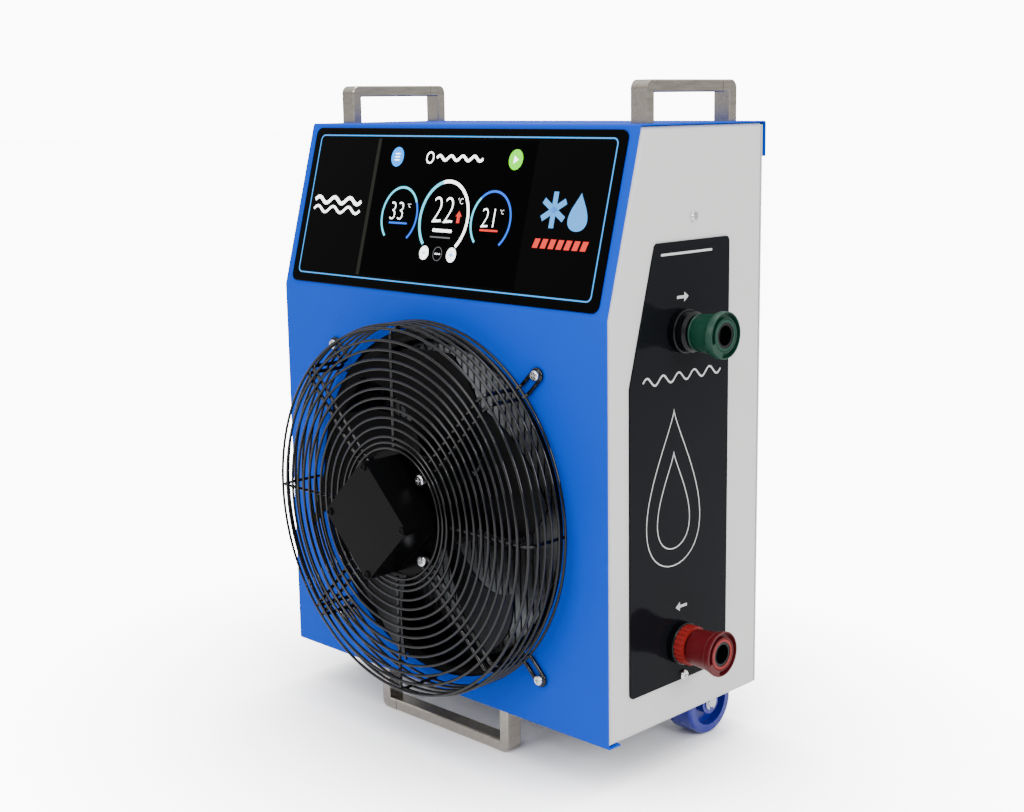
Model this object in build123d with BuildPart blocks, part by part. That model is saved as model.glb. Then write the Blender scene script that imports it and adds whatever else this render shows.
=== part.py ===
from build123d import *
import os
from math import atan2, cos, degrees, hypot, radians, sin, sqrt

os.makedirs("parts", exist_ok=True)

# A portable chiller that stands on two rear wheels and a foot handle under its front.
# Origin: middle of the foot handle's flat underside, on the floor.
# +X is the side with the two liquid couplings, the fan faces -Y, and +Z is up.

# Casing
body_width = 520.0
body_depth = 255.0
body_height = 640.0
ground_gap = 50.0
front_height = 450.0
slope_setback = 52.0
front_to_foot = 4.0
sheet = 1.5
sheet_bend = 3.0
panel_gap = 0.5
return_lip = 20.0
rear_lip_drop = 38.0
rear_lip_reach = 5.0
side_flange = 20.0
side_bend = 7.0

# Handles: flat bars with cast corner legs
bar_width = 22.0
bar_thickness = 13.0
bar_edge = 1.2
leg_arm = 24.0
leg_corner = 9.0
grip_step = 0.5
grip_wall = 1.5
top_handle_length = 150.0
top_handle_height = 44.0
top_handle_inset = 29.0
top_handle_from_front = 82.0
foot_handle_length = 214.0
handle_screw_depth = 14.0

# Screws
screw_shank = 2.4
screw_hole = 2.6
pan_head = 5.8
pan_height = 3.5
cap_head = 5.0
cap_height = 4.0

# Fan and its basket guard
fan_height = 220.0
fan_hole = 199.0
throat = 178.5
shroud_depth = 54.0
shroud_flange = 206.0
blade_tip = 175.5
blade_count = 5
blade_thickness = 2.2
blade_middle = 22.0
rotor_radius = 52.0
rotor_front = -38.0
rotor_back = 30.0
rotor_edge = 5.0
motor_shaft = 6.0
shaft_clearance = 0.08
shaft_end = 20.0
motor_flange = 70.0
motor_flange_thickness = 6.8
motor_neck = 46.0
motor_screw_circle = 63.0
motor_head = 6.5
guard_front = 57.0
guard_side = 204.0
guard_bend = 9.0
ear_bend = 6.0
ear_circle = 234.0
loop_half_width = 6.3
loop_wire = 4.5
spoke_wire = 3.5
ring_wire = 3.2
weld_gap = 0.05
ring_pitch = 10.6
first_ring = 86.0
front_ring_count = 11
inner_rings = (73.3, 79.6)
side_ring_pitch = 10.5
side_ring_count = 5
base_ring_height = 5.0

# Terminal box on the motor, turned corner up
terminal_side = 97.0
terminal_corner = 7.0
terminal_wall = 3.0
terminal_box_depth = 29.0
terminal_lid_depth = 17.3
lid_screw_inset = 6.0

# Display on the sloped face
glass_width = 496.0
glass_height = 186.0
glass_corner = 9.0
glass_thickness = 2.0
screen_width = 262.0
screen_height = 158.0
screen_depth = 14.0
screen_clearance = 1.0

# Inlay plate and couplings on the right side
inlay_thickness = 2.0
inlay_front = 33.0
inlay_rear = 195.0
inlay_bottom = 46.0
inlay_top = 521.0
inlay_corner = 6.0
coupling_from_front = 114.5
upper_coupling_height = 428.0
lower_coupling_height = 89.0
thread_radius = 13.0
thread_clearance = 0.4
flange_radius = 23.0
flange_length = 9.0
collar_radius = 21.5
collar_length = 11.0
collar_groove = 3.0
sleeve_radius = 19.5
sleeve_length = 35.0
sleeve_wall = 2.7
rim_radius = 24.5
rim_length = 7.0
rim_flare = 5.0
nose_radius = 16.5
slide_clearance = 0.3
nose_recess = 8.0
groove_wall = 4.7
socket_radius = 10.5
socket_depth = 12.0
valve_bore = 9.6
valve_length = 15.0
valve_travel = 5.0
valve_hollow = 4.5
liquid_bore = 8.0
barb_length = 12.0
locknut_radius = 17.5
locknut_length = 6.0
nose_set_back = 1.0
collar_teeth = 24

# Side screws, measured from the front face and from the casing's bottom
upper_screw = (135.5, 544.5)
lower_screw = (120.5, 50.5)

# Wheels and axle
wheel_radius = 37.5
wheel_width = 36.0
wheel_inset = 25.0
wheel_from_front = 203.5
wheel_edge = 4.0
wheel_web = 16.0
hub_radius = 14.0
rim_inner = 27.0
axle_radius = 6.0
axle_clearance = 0.08
axle_proud = 4.0
clip_radius = 9.0
clip_thickness = 1.2
clip_groove = 5.2
bracket_plate = 3.0
bracket_width = 40.0
bracket_foot = 33.0
bracket_gap = 3.0
arch_clearance = 4.0

# Inside
tray_sheet = 2.0
tray_flange = 66.0
tray_rear_flange = 20.0
tray_bend = 7.2
tray_relief = 7.5
shelf_height = 444.0
shelf_flange = 120.0
shelf_from_front = 55.0
casing_half = 209.2
casing_wall = 1.2
casing_depth = 111.0
casing_flange = 12.0
coil_width = 400.0
coil_thickness = 44.0
coil_back_gap = 2.0
coil_stub = 5.0
fin_step = 10.0
fin_slot = 2.5
tube_rows = 8
return_bend_pitch = 50.0
refrigerant_pipe = 4.8
liquid_pipe_radius = 3.2
capillary_radius = 1.6
hose_radius = 8.5
hose_bend = 16.0

# Places worked out from the driving sizes
front = -bar_width / 2 - front_to_foot
back = front + body_depth
half_width = body_width / 2
bottom = ground_gap
top = bottom + body_height
fold = bottom + front_height
top_front = front + slope_setback
fan_z = bottom + fan_height
inner_front = front + sheet
tray_floor = bottom + sheet + panel_gap + sheet
tray_top = tray_floor + tray_sheet

slope_rise = top - fold
slope_length = hypot(slope_setback, slope_rise)
slope_plane = Plane(
    origin=(0, front + slope_setback / 2, fold + slope_rise / 2),
    x_dir=(1, 0, 0),
    z_dir=(0, -slope_rise / slope_length, slope_setback / slope_length),
)
fan_axis = Axis((0, front, fan_z), (0, 1, 0))
fan_section = Plane(origin=(0, front, fan_z), x_dir=(1, 0, 0), z_dir=(0, 0, 1))


def write(piece, label):
    """Name a finished piece and write it to its own file."""
    piece.part.label = label
    export_step(piece.part, f"parts/{label}.step")


def cross_plane(y, z):
    """A plane along X through (y, z), for profiles turned about that line."""
    return Plane(origin=(0, y, z), x_dir=(1, 0, 0), z_dir=(0, -1, 0))


def fan_face(depth, turn=0):
    """A plane parallel to the front face, looking out of it, with its origin on the fan axis."""
    across = (cos(radians(turn)), 0, sin(radians(turn)))
    return Plane(origin=(0, front + depth, fan_z), x_dir=across, z_dir=(0, -1, 0))


# Outer wrap: one sheet folded from the rear lip over the top and down the front
with BuildPart() as outer_wrap:
    with BuildSketch(Plane.YZ):
        with BuildLine():
            FilletPolyline(
                (back + rear_lip_reach, top - rear_lip_drop),
                (back + rear_lip_reach, top),
                (top_front, top),
                (front, fold),
                (front, bottom),
                (front + return_lip, bottom),
                radius=sheet_bend,
            )
            offset(amount=sheet, side=Side.LEFT)
        make_face()
    extrude(amount=half_width, both=True)
    with BuildSketch(fan_face(0)):
        Circle(fan_hole)
        with PolarLocations(ear_circle, 4, start_angle=45):
            Circle(screw_hole)
    extrude(amount=-2 * sheet, mode=Mode.SUBTRACT)
    with BuildSketch(slope_plane):
        Rectangle(screen_width + 2 * screen_clearance, screen_height + 2 * screen_clearance)
    extrude(amount=-3 * sheet, mode=Mode.SUBTRACT)
    top_handle_x = half_width - top_handle_inset
    top_handle_y = front + top_handle_from_front
    leg_middle = bar_thickness / 2
    with BuildSketch(Plane.XY.offset(top)):
        for side in (-1, 1):
            for along in (leg_middle, top_handle_length - leg_middle):
                with Locations((side * top_handle_x, top_handle_y + along)):
                    Circle(screw_hole)
    extrude(amount=-2 * sheet, mode=Mode.SUBTRACT)
    foot_screw_x = foot_handle_length / 2 - leg_middle
    with BuildSketch(Plane.XY.offset(bottom)):
        with Locations((-foot_screw_x, 0), (foot_screw_x, 0)):
            Circle(screw_hole)
    extrude(amount=2 * sheet, mode=Mode.SUBTRACT)
write(outer_wrap, "outer_wrap")


# Side panels: shallow pans with soft bends, standing just inside the wrap's edges
def pan_outline(inset):
    """The casing's side outline, set in from the wrap by the given amount."""
    with BuildSketch() as outline:
        with BuildLine():
            Polyline(
                (front, bottom),
                (back + pan_inset, bottom),
                (back + pan_inset, top),
                (top_front, top),
                (front, fold),
                close=True,
            )
        make_face()
        offset(amount=-inset, kind=Kind.INTERSECTION)
    return outline.sketch


upper_screw_y = front + upper_screw[0]
upper_screw_z = bottom + upper_screw[1]
lower_screw_y = front + lower_screw[0]
lower_screw_z = bottom + lower_screw[1]
coupling_y = front + coupling_from_front
coupling_heights = {"green": bottom + upper_coupling_height, "red": bottom + lower_coupling_height}
pan_inset = sheet + panel_gap
pan_inner = half_width - sheet

for side, label in ((1, "side_panel_right"), (-1, "side_panel_left")):
    with BuildPart() as side_panel:
        with BuildSketch(Plane.YZ.offset(half_width - side_flange)):
            add(pan_outline(pan_inset))
        extrude(amount=side_flange)
        fillet(side_panel.faces().sort_by(Axis.X)[-1].edges(), side_bend)
        with BuildPart(mode=Mode.PRIVATE) as pan_hollow:
            with BuildSketch(Plane.YZ.offset(half_width - side_flange)):
                add(pan_outline(pan_inset + sheet))
            extrude(amount=side_flange - sheet)
            fillet(pan_hollow.faces().sort_by(Axis.X)[-1].edges(), side_bend - sheet)
        add(pan_hollow.part, mode=Mode.SUBTRACT)
        with BuildSketch(Plane.YZ.offset(half_width)):
            with Locations((upper_screw_y, upper_screw_z), (lower_screw_y, lower_screw_z)):
                Circle(screw_hole)
            if side > 0:
                with Locations((coupling_y, coupling_heights["green"]), (coupling_y, coupling_heights["red"])):
                    Circle(thread_radius + thread_clearance)
        extrude(amount=-2 * sheet, mode=Mode.SUBTRACT)
        if side < 0:
            mirror(side_panel.part, about=Plane.YZ, mode=Mode.REPLACE)
    write(side_panel, label)

# Inlay: a thin plate on the right panel whose front edge follows the casing's slope
inlay_slope = slope_setback / slope_rise
inlay_shoulder = inlay_front + 39.5
with BuildPart() as side_inlay:
    with BuildSketch(Plane.YZ.offset(half_width)) as inlay_sketch:
        with BuildLine():
            Polyline(
                (front + inlay_front, bottom + inlay_bottom),
                (front + inlay_rear, bottom + inlay_bottom),
                (front + inlay_rear, bottom + inlay_top),
                (front + inlay_shoulder, bottom + inlay_top),
                (front + inlay_front, bottom + inlay_top - (inlay_shoulder - inlay_front) / inlay_slope),
                close=True,
            )
        make_face()
        fillet(inlay_sketch.vertices(), inlay_corner)
        with Locations((lower_screw_y, lower_screw_z)):
            Circle(screw_hole, mode=Mode.SUBTRACT)
        with Locations((coupling_y, coupling_heights["green"]), (coupling_y, coupling_heights["red"])):
            Circle(thread_radius + thread_clearance, mode=Mode.SUBTRACT)
    extrude(amount=inlay_thickness)
write(side_inlay, "side_inlay")

# Rear panel: flat sheet with the air intake slots and the cut-out for the mains inlet
rear_margin = 2.0
slot_width = 188.0
slot_height = 8.0
slot_pitch = 19.0
slot_rows = 24
slot_column_gap = 212.0
slots_bottom = 60.0
inlet_x = -190.0
inlet_z = bottom + 560.0
inlet_body_width = 27.0
inlet_body_height = 47.0
inlet_cut_clearance = 0.5
with BuildPart() as rear_panel:
    with BuildSketch(Plane.XZ.offset(-back)):
        with Locations((0, (bottom + top) / 2)):
            Rectangle(body_width - 2 * rear_margin, body_height - 4 * rear_margin)
        with Locations((0, bottom + slots_bottom + slot_pitch * (slot_rows - 1) / 2)):
            with GridLocations(slot_column_gap, slot_pitch, 2, slot_rows):
                Rectangle(slot_width, slot_height, mode=Mode.SUBTRACT)
        with Locations((inlet_x, inlet_z)):
            Rectangle(
                inlet_body_width + 2 * inlet_cut_clearance,
                inlet_body_height + 2 * inlet_cut_clearance,
                mode=Mode.SUBTRACT,
            )
    extrude(amount=-sheet)
write(rear_panel, "rear_panel")

# Base tray: sheet floor with side and rear flanges and two raised wheel arches
wheel_y = front + wheel_from_front
wheel_z = wheel_radius
wheel_outer = half_width - wheel_inset
wheel_inner = wheel_outer - wheel_width
wheel_x = (wheel_inner + wheel_outer) / 2
tray_front = inner_front + panel_gap + sheet + panel_gap
tray_back = back - sheet - panel_gap
arch_length = 2 * (wheel_radius + arch_clearance)
arch_width = wheel_width + 2 * arch_clearance
arch_top = 2 * wheel_radius + arch_clearance
with BuildPart() as base_tray:
    with BuildSketch(Plane.XZ.offset(-tray_front)):
        with BuildLine():
            FilletPolyline(
                (-pan_inner, tray_floor + tray_flange),
                (-pan_inner, tray_floor),
                (pan_inner, tray_floor),
                (pan_inner, tray_floor + tray_flange),
                radius=tray_bend,
            )
            offset(amount=tray_sheet, side=Side.LEFT)
        make_face()
    extrude(amount=-(tray_back - tray_front))
    with BuildSketch(Plane.XZ.offset(-tray_back)):
        with Locations((0, tray_floor)):
            Rectangle(2 * (pan_inner - tray_relief), tray_rear_flange, align=(Align.CENTER, Align.MIN))
    extrude(amount=tray_sheet)
    with BuildSketch(Plane.XY.offset(tray_floor)):
        for corner_x in (-pan_inner, pan_inner):
            with Locations((corner_x, tray_front), (corner_x, tray_back)):
                Rectangle(2 * tray_relief, 2 * tray_relief)
    extrude(amount=tray_flange, mode=Mode.SUBTRACT)
    with BuildSketch(Plane.XY.offset(tray_top)):
        with Locations((-wheel_x, wheel_y), (wheel_x, wheel_y)):
            Rectangle(arch_width + 2 * sheet, arch_length + 2 * sheet)
    extrude(amount=arch_top + sheet - tray_top)
    with BuildSketch(Plane.XY.offset(tray_floor)):
        with Locations((-wheel_x, wheel_y), (wheel_x, wheel_y)):
            Rectangle(arch_width, arch_length)
    extrude(amount=arch_top - tray_floor, mode=Mode.SUBTRACT)
    with BuildSketch(Plane.XY.offset(tray_floor)):
        with Locations((-foot_screw_x, 0), (foot_screw_x, 0)):
            Circle(screw_hole)
    extrude(amount=tray_sheet, mode=Mode.SUBTRACT)
    with BuildSketch(Plane.YZ):
        with Locations((lower_screw_y, lower_screw_z)):
            Circle(screw_hole)
    extrude(amount=half_width, both=True, mode=Mode.SUBTRACT)
write(base_tray, "base_tray")

# Upper shelf: carries the electrics and takes the upper side screws
shelf_z = bottom + shelf_height
shelf_y = front + shelf_from_front
with BuildPart() as upper_shelf:
    with BuildSketch(Plane.XZ.offset(-shelf_y)):
        with BuildLine():
            Polyline(
                (-pan_inner, shelf_z + shelf_flange),
                (-pan_inner, shelf_z),
                (pan_inner, shelf_z),
                (pan_inner, shelf_z + shelf_flange),
            )
            offset(amount=sheet, side=Side.LEFT, kind=Kind.INTERSECTION)
        make_face()
    extrude(amount=-(tray_back - tray_relief - shelf_y))
    with BuildSketch(Plane.YZ):
        with Locations((upper_screw_y, upper_screw_z)):
            Circle(screw_hole)
    extrude(amount=half_width, both=True, mode=Mode.SUBTRACT)
write(upper_shelf, "upper_shelf")

# Display: one black glass over the sloped face and the screen module behind it
with BuildPart() as display_glass:
    with BuildSketch(slope_plane):
        RectangleRounded(glass_width, glass_height, glass_corner)
    extrude(amount=glass_thickness)
    chamfer(display_glass.faces().sort_by(Axis(slope_plane.origin, slope_plane.z_dir))[-1].edges(), glass_thickness / 4)
write(display_glass, "display_glass")

with BuildPart() as display_module:
    with BuildSketch(slope_plane):
        Rectangle(screen_width, screen_height)
    extrude(amount=-screen_depth)
    with BuildSketch(slope_plane.offset(-screen_depth)):
        Rectangle(screen_width * 0.6, screen_height * 0.7)
    extrude(amount=-screen_depth / 2)
write(display_module, "display_module")

# Fan shroud: spun sheet, a flange behind the front face that rolls into the throat
with BuildPart() as fan_shroud:
    with BuildSketch(fan_section):
        with BuildLine():
            FilletPolyline(
                (shroud_flange, sheet),
                (throat, sheet),
                (throat, sheet + shroud_depth),
                radius=fan_hole - throat,
            )
            offset(amount=sheet, side=Side.RIGHT)
        make_face()
    revolve(axis=fan_axis)
write(fan_shroud, "fan_shroud")

# Duct: square sheet tunnel between the shroud and the coil, with a turned-in front edge
duct_front = front + 2 * sheet
with BuildPart() as coil_duct:
    with BuildSketch(Plane.XZ.offset(-duct_front)):
        with Locations((0, fan_z)):
            Rectangle(2 * (casing_half + casing_wall), 2 * (casing_half + casing_wall))
    extrude(amount=-(casing_depth - 2 * sheet))
    with BuildSketch(Plane.XZ.offset(-duct_front - casing_wall)):
        with Locations((0, fan_z)):
            Rectangle(2 * casing_half, 2 * casing_half)
    extrude(amount=-casing_depth, mode=Mode.SUBTRACT)
    with BuildSketch(Plane.XZ.offset(-duct_front)):
        with Locations((0, fan_z)):
            Circle(fan_hole + casing_wall)
    extrude(amount=-2 * casing_wall, mode=Mode.SUBTRACT)
write(coil_duct, "coil_duct")


# Screws
def screw(head_radius, head_height, length):
    """A cross-head screw: the head stands on the XY plane and the shank goes down."""
    with BuildPart() as body:
        with BuildSketch(Plane.XY):
            Circle(head_radius)
        extrude(amount=head_height)
        fillet(body.faces().sort_by(Axis.Z)[-1].edges(), head_height * 0.6)
        with BuildSketch(Plane.XY.offset(head_height * 0.45)):
            Rectangle(head_radius * 1.1, head_radius * 0.24)
            Rectangle(head_radius * 0.24, head_radius * 1.1)
        extrude(amount=head_height, mode=Mode.SUBTRACT)
        with BuildSketch(Plane.XY):
            Circle(screw_shank)
        extrude(amount=-length)
    return body.part


def place(piece, x, y, z, normal):
    """Copy a piece to a point with its own +Z turned to the given direction."""
    across = (0, 1, 0) if normal[0] else (1, 0, 0)
    return piece.moved(Plane(origin=(x, y, z), x_dir=across, z_dir=normal).location)


side_screw = screw(pan_head, pan_height, 9.0)
with BuildPart() as side_screws:
    add(place(side_screw, half_width, upper_screw_y, upper_screw_z, (1, 0, 0)))
    add(place(side_screw, half_width + inlay_thickness, lower_screw_y, lower_screw_z, (1, 0, 0)))
    add(place(side_screw, -half_width, upper_screw_y, upper_screw_z, (-1, 0, 0)))
    add(place(side_screw, -half_width, lower_screw_y, lower_screw_z, (-1, 0, 0)))
write(side_screws, "side_screws")


# Handles
def corner_leg(plane, height, label):
    """A cast corner: a leg standing on the casing and a short arm towards the grip."""
    butt = plane.origin + plane.x_dir * leg_arm + plane.y_dir * (height - bar_thickness / 2)
    with BuildPart() as leg:
        with BuildSketch(plane) as profile:
            with BuildLine():
                Polyline(
                    (0, 0),
                    (bar_thickness, 0),
                    (bar_thickness, height - bar_thickness),
                    (leg_arm, height - bar_thickness),
                    (leg_arm, height),
                    (0, height),
                    close=True,
                )
            make_face()
        extrude(amount=bar_width / 2, both=True)
        outer = plane.origin + plane.y_dir * height
        corner_edges = leg.edges().filter_by(Axis(plane.origin, plane.z_dir))
        fillet(corner_edges.sort_by_distance(outer)[0], leg_corner)
        for side in (-1, 1):
            face_axis = Axis(plane.origin, plane.z_dir * side)
            side_face = leg.faces().sort_by(face_axis)[-1]
            on_base = plane.origin + plane.x_dir * leg_middle + plane.z_dir * (side * bar_width / 2)
            on_butt = butt + plane.z_dir * (side * bar_width / 2)
            bevels = side_face.edges()
            bevels = [e for e in bevels if (e.center() - on_base).length > 0.1 and (e.center() - on_butt).length > 0.1]
            chamfer(bevels, bar_edge)
        with BuildSketch(Plane(origin=plane.origin, x_dir=plane.x_dir, z_dir=plane.y_dir)):
            with Locations((leg_middle, 0)):
                Circle(screw_shank + 0.1)
        extrude(amount=handle_screw_depth + 1, mode=Mode.SUBTRACT)
        with BuildSketch(Plane(origin=butt, x_dir=plane.z_dir, z_dir=plane.x_dir)):
            Rectangle(
                bar_width - 2 * (grip_step + grip_wall + 0.1),
                bar_thickness - 2 * (grip_step + grip_wall + 0.1),
            )
        extrude(amount=leg_corner)
    write(leg, label)


def grip(plane, length, height, label):
    """The straight bar between the two corners: a square tube that takes their tongues."""
    start = plane.origin + plane.x_dir * leg_arm + plane.y_dir * (height - bar_thickness / 2)
    with BuildPart() as bar:
        with BuildSketch(Plane(origin=start, x_dir=plane.z_dir, z_dir=plane.x_dir)) as section:
            Rectangle(bar_width - 2 * grip_step, bar_thickness)
            chamfer(section.vertices(), bar_edge)
            Rectangle(
                bar_width - 2 * (grip_step + grip_wall),
                bar_thickness - 2 * (grip_step + grip_wall),
                mode=Mode.SUBTRACT,
            )
        extrude(amount=length - 2 * leg_arm)
    write(bar, label)


for side, name in ((-1, "left"), (1, "right")):
    near = Plane(origin=(side * top_handle_x, top_handle_y, top), x_dir=(0, 1, 0), z_dir=(1, 0, 0))
    far_y = top_handle_y + top_handle_length
    far = Plane(origin=(side * top_handle_x, far_y, top), x_dir=(0, -1, 0), z_dir=(-1, 0, 0))
    corner_leg(near, top_handle_height, f"handle_{name}_front_leg")
    corner_leg(far, top_handle_height, f"handle_{name}_rear_leg")
    grip(near, top_handle_length, top_handle_height, f"handle_{name}_grip")

foot_left = Plane(origin=(-foot_handle_length / 2, 0, bottom), x_dir=(1, 0, 0), z_dir=(0, 1, 0))
foot_right = Plane(origin=(foot_handle_length / 2, 0, bottom), x_dir=(-1, 0, 0), z_dir=(0, -1, 0))
corner_leg(foot_left, ground_gap, "foot_left_leg")
corner_leg(foot_right, ground_gap, "foot_right_leg")
grip(foot_left, foot_handle_length, ground_gap, "foot_grip")

top_screw = screw(cap_head, cap_height, sheet + handle_screw_depth)
foot_screw = screw(cap_head, cap_height, tray_top - bottom + handle_screw_depth)
with BuildPart() as handle_screws:
    for side in (-1, 1):
        for along in (leg_middle, top_handle_length - leg_middle):
            add(place(top_screw, side * top_handle_x, top_handle_y + along, top - sheet, (0, 0, -1)))
        add(place(foot_screw, side * foot_screw_x, 0, tray_top, (0, 0, 1)))
write(handle_screws, "handle_screws")

# Wheels on one axle between two brackets
for side, label in ((-1, "wheel_left"), (1, "wheel_right")):
    with BuildPart() as wheel:
        with BuildSketch(cross_plane(wheel_y, wheel_z)) as wheel_profile:
            with Locations((side * wheel_x, 0)):
                Rectangle(wheel_width, wheel_radius, align=(Align.CENTER, Align.MIN))
            fillet(wheel_profile.vertices().group_by(Axis.Y)[-1], wheel_edge)
            with Locations((side * wheel_x, 0)):
                Rectangle(
                    wheel_width,
                    axle_radius + axle_clearance,
                    align=(Align.CENTER, Align.MIN),
                    mode=Mode.SUBTRACT,
                )
            web_cut = (wheel_width - wheel_web) / 2
            for face in (-1, 1):
                with Locations((side * wheel_x + face * (wheel_width - web_cut) / 2, hub_radius)):
                    Rectangle(
                        web_cut,
                        rim_inner - hub_radius,
                        align=(Align.CENTER, Align.MIN),
                        mode=Mode.SUBTRACT,
                    )
        revolve(axis=Axis((0, wheel_y, wheel_z), (1, 0, 0)))
    write(wheel, label)

axle_half = wheel_outer + axle_proud
clip_gap = 0.4
clip_inner_face = wheel_outer + clip_gap
with BuildPart() as wheel_axle:
    with BuildSketch(Plane.YZ.offset(-axle_half)):
        with Locations((wheel_y, wheel_z)):
            Circle(axle_radius)
    extrude(amount=2 * axle_half)
    chamfer(wheel_axle.edges().filter_by(GeomType.CIRCLE), 0.8)
    for side in (-1, 1):
        for inner in (clip_inner_face, wheel_inner - clip_gap - clip_thickness):
            groove_start = inner if side > 0 else -inner - clip_thickness
            with BuildSketch(Plane.YZ.offset(groove_start)):
                with Locations((wheel_y, wheel_z)):
                    Circle(axle_radius + 1)
                    Circle(clip_groove, mode=Mode.SUBTRACT)
            extrude(amount=clip_thickness, mode=Mode.SUBTRACT)
write(wheel_axle, "wheel_axle")

with BuildPart() as axle_clips:
    for side in (-1, 1):
        for inner in (clip_inner_face, wheel_inner - clip_gap - clip_thickness):
            groove_start = inner if side > 0 else -inner - clip_thickness
            with BuildSketch(Plane.YZ.offset(groove_start)):
                with Locations((wheel_y, wheel_z)):
                    Circle(clip_radius)
                    Circle(clip_groove, mode=Mode.SUBTRACT)
                with Locations((wheel_y, wheel_z - clip_radius)):
                    Rectangle(clip_groove * 1.2, clip_radius, mode=Mode.SUBTRACT)
            extrude(amount=clip_thickness)
write(axle_clips, "axle_clips")

bracket_face = wheel_inner - arch_clearance - sheet - bracket_gap
for side, label in ((-1, "axle_bracket_left"), (1, "axle_bracket_right")):
    with BuildPart() as bracket:
        with BuildSketch(Plane.YZ.offset(side * bracket_face)):
            with Locations((wheel_y, tray_floor)):
                Rectangle(bracket_width, tray_floor - wheel_z + bracket_width / 2, align=(Align.CENTER, Align.MAX))
            with Locations((wheel_y, wheel_z)):
                Circle(axle_radius, mode=Mode.SUBTRACT)
        extrude(amount=-side * bracket_plate)
        with BuildSketch(Plane.XY.offset(tray_floor)):
            with Locations((side * (bracket_face - bracket_foot / 2), wheel_y)):
                Rectangle(bracket_foot, bracket_width)
        extrude(amount=-bracket_plate)
    write(bracket, label)

# Fan motor: front flange, stator and bearing; the rotor turns round the stator
flange_front = guard_front - loop_wire / 2 - weld_gap
flange_back = flange_front - motor_flange_thickness
stator_end = rotor_back - 2 * rotor_edge
with BuildPart() as fan_motor:
    with BuildSketch(fan_section):
        with BuildLine():
            Polyline(
                (0, -flange_front),
                (motor_flange, -flange_front),
                (motor_flange, -flange_back),
                (motor_neck, -flange_back + 2),
                (motor_neck, stator_end),
                (motor_shaft + shaft_clearance, stator_end),
                (motor_shaft + shaft_clearance, -flange_back),
                (0, -flange_back),
                close=True,
            )
        make_face()
    revolve(axis=fan_axis)
    with BuildSketch(fan_face(-flange_front)):
        with PolarLocations(motor_screw_circle, 4, start_angle=45):
            Circle(screw_shank + 0.1)
    extrude(amount=-(motor_flange_thickness + 4), mode=Mode.SUBTRACT)
write(fan_motor, "fan_motor")


def blade_plan():
    """One sickle blade seen along the fan axis, reaching into the rotor can."""
    def polar(radius, angle):
        return (radius * cos(radians(angle)), radius * sin(radians(angle)))

    root = rotor_radius - 1.5
    with BuildSketch() as plan:
        with BuildLine():
            tip_start = polar(blade_tip, 8)
            tip_end = polar(blade_tip, 52)
            trailing = Spline(polar(root, -30), polar(115, -12), tip_start)
            ThreePointArc(tip_start, polar(blade_tip, 30), tip_end)
            leading = Spline(tip_end, polar(115, 34), polar(root, 32))
            Line(leading @ 1, trailing @ 0)
        make_face()
    return plan.sketch


with BuildPart() as fan_rotor:
    with BuildSketch(fan_section):
        with BuildLine():
            Polyline(
                (rotor_radius - rotor_edge / 2, rotor_front),
                (rotor_radius, rotor_front),
                (rotor_radius, rotor_back - rotor_edge),
                (rotor_radius - rotor_edge, rotor_back),
                (0, rotor_back),
                (0, -shaft_end),
                (motor_shaft, -shaft_end),
                (motor_shaft, rotor_back - rotor_edge),
                (rotor_radius - rotor_edge, rotor_back - rotor_edge),
                (rotor_radius - rotor_edge / 2, rotor_back - 2 * rotor_edge),
                close=True,
            )
        make_face()
    revolve(axis=fan_axis)
    with BuildPart(mode=Mode.PRIVATE) as blade:
        for radius, pitch in ((rotor_radius - 3, 30), (blade_tip + 2, 15)):
            middle = (radius, front + blade_middle - 12, fan_z)
            shift = radius * 0.45
            with BuildSketch(Plane(origin=middle, x_dir=(0, 0, 1), z_dir=(1, 0, 0))):
                with Locations((shift * cos(radians(pitch)), shift * sin(radians(pitch)))):
                    Rectangle(radius * 0.6 + 150, blade_thickness, rotation=pitch)
        loft(ruled=True)
        with BuildSketch(fan_face(-guard_front)):
            add(blade_plan())
        extrude(amount=-3 * guard_front, mode=Mode.INTERSECT)
    for turn in range(blade_count):
        add(blade.part.rotate(fan_axis, turn * 360 / blade_count))
write(fan_rotor, "fan_rotor")


# Fan guard: four doubled wires, four single wires and rings laid over them, all welded
def radial_plane(angle, sideways):
    """A plane through the fan axis at the given angle, shifted sideways: x out, y forward."""
    c = cos(radians(angle))
    s = sin(radians(angle))
    return Plane(
        origin=(sideways * s, front, fan_z - sideways * c),
        x_dir=(c, 0, s),
        z_dir=(s, 0, -c),
    )


weld_sink = 0.25
wire_face = guard_front + loop_wire / 2
wire_side = guard_side + loop_wire / 2
loop_outer = loop_half_width + loop_wire / 2
loop_inner = loop_half_width - loop_wire / 2
ear_face = loop_wire + weld_gap


def wire_band(plane, outer_points, thickness, width):
    """A bent wire of square section whose outer edge follows the points."""
    with BuildPart() as band:
        with BuildSketch(plane):
            with BuildLine():
                FilletPolyline(*outer_points, radius=guard_bend)
                offset(amount=thickness, side=Side.RIGHT)
            make_face()
        extrude(amount=width / 2, both=True)
    return band.part


def wire_loop(angle, radius, back, outward):
    """Half a flat ring that joins a doubled wire's two strands round a screw."""
    with BuildPart() as loop:
        with BuildSketch(fan_face(-back, angle)):
            with Locations((radius, 0)):
                Circle(loop_outer)
                Circle(loop_inner, mode=Mode.SUBTRACT)
            with Locations((radius - outward * loop_outer, 0)):
                Rectangle(2 * loop_outer - 0.4, 3 * loop_outer, mode=Mode.SUBTRACT)
        extrude(amount=loop_wire)
    return loop.part


def polygon_ring(inner_radius, back, sides):
    """A flat ring of square wire made of straight runs, standing forward from the given face."""
    with BuildPart() as ring:
        with BuildSketch(fan_face(-back)):
            RegularPolygon(inner_radius + ring_wire, sides)
            RegularPolygon(inner_radius, sides, mode=Mode.SUBTRACT)
        extrude(amount=ring_wire)
    return ring.part


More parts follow.
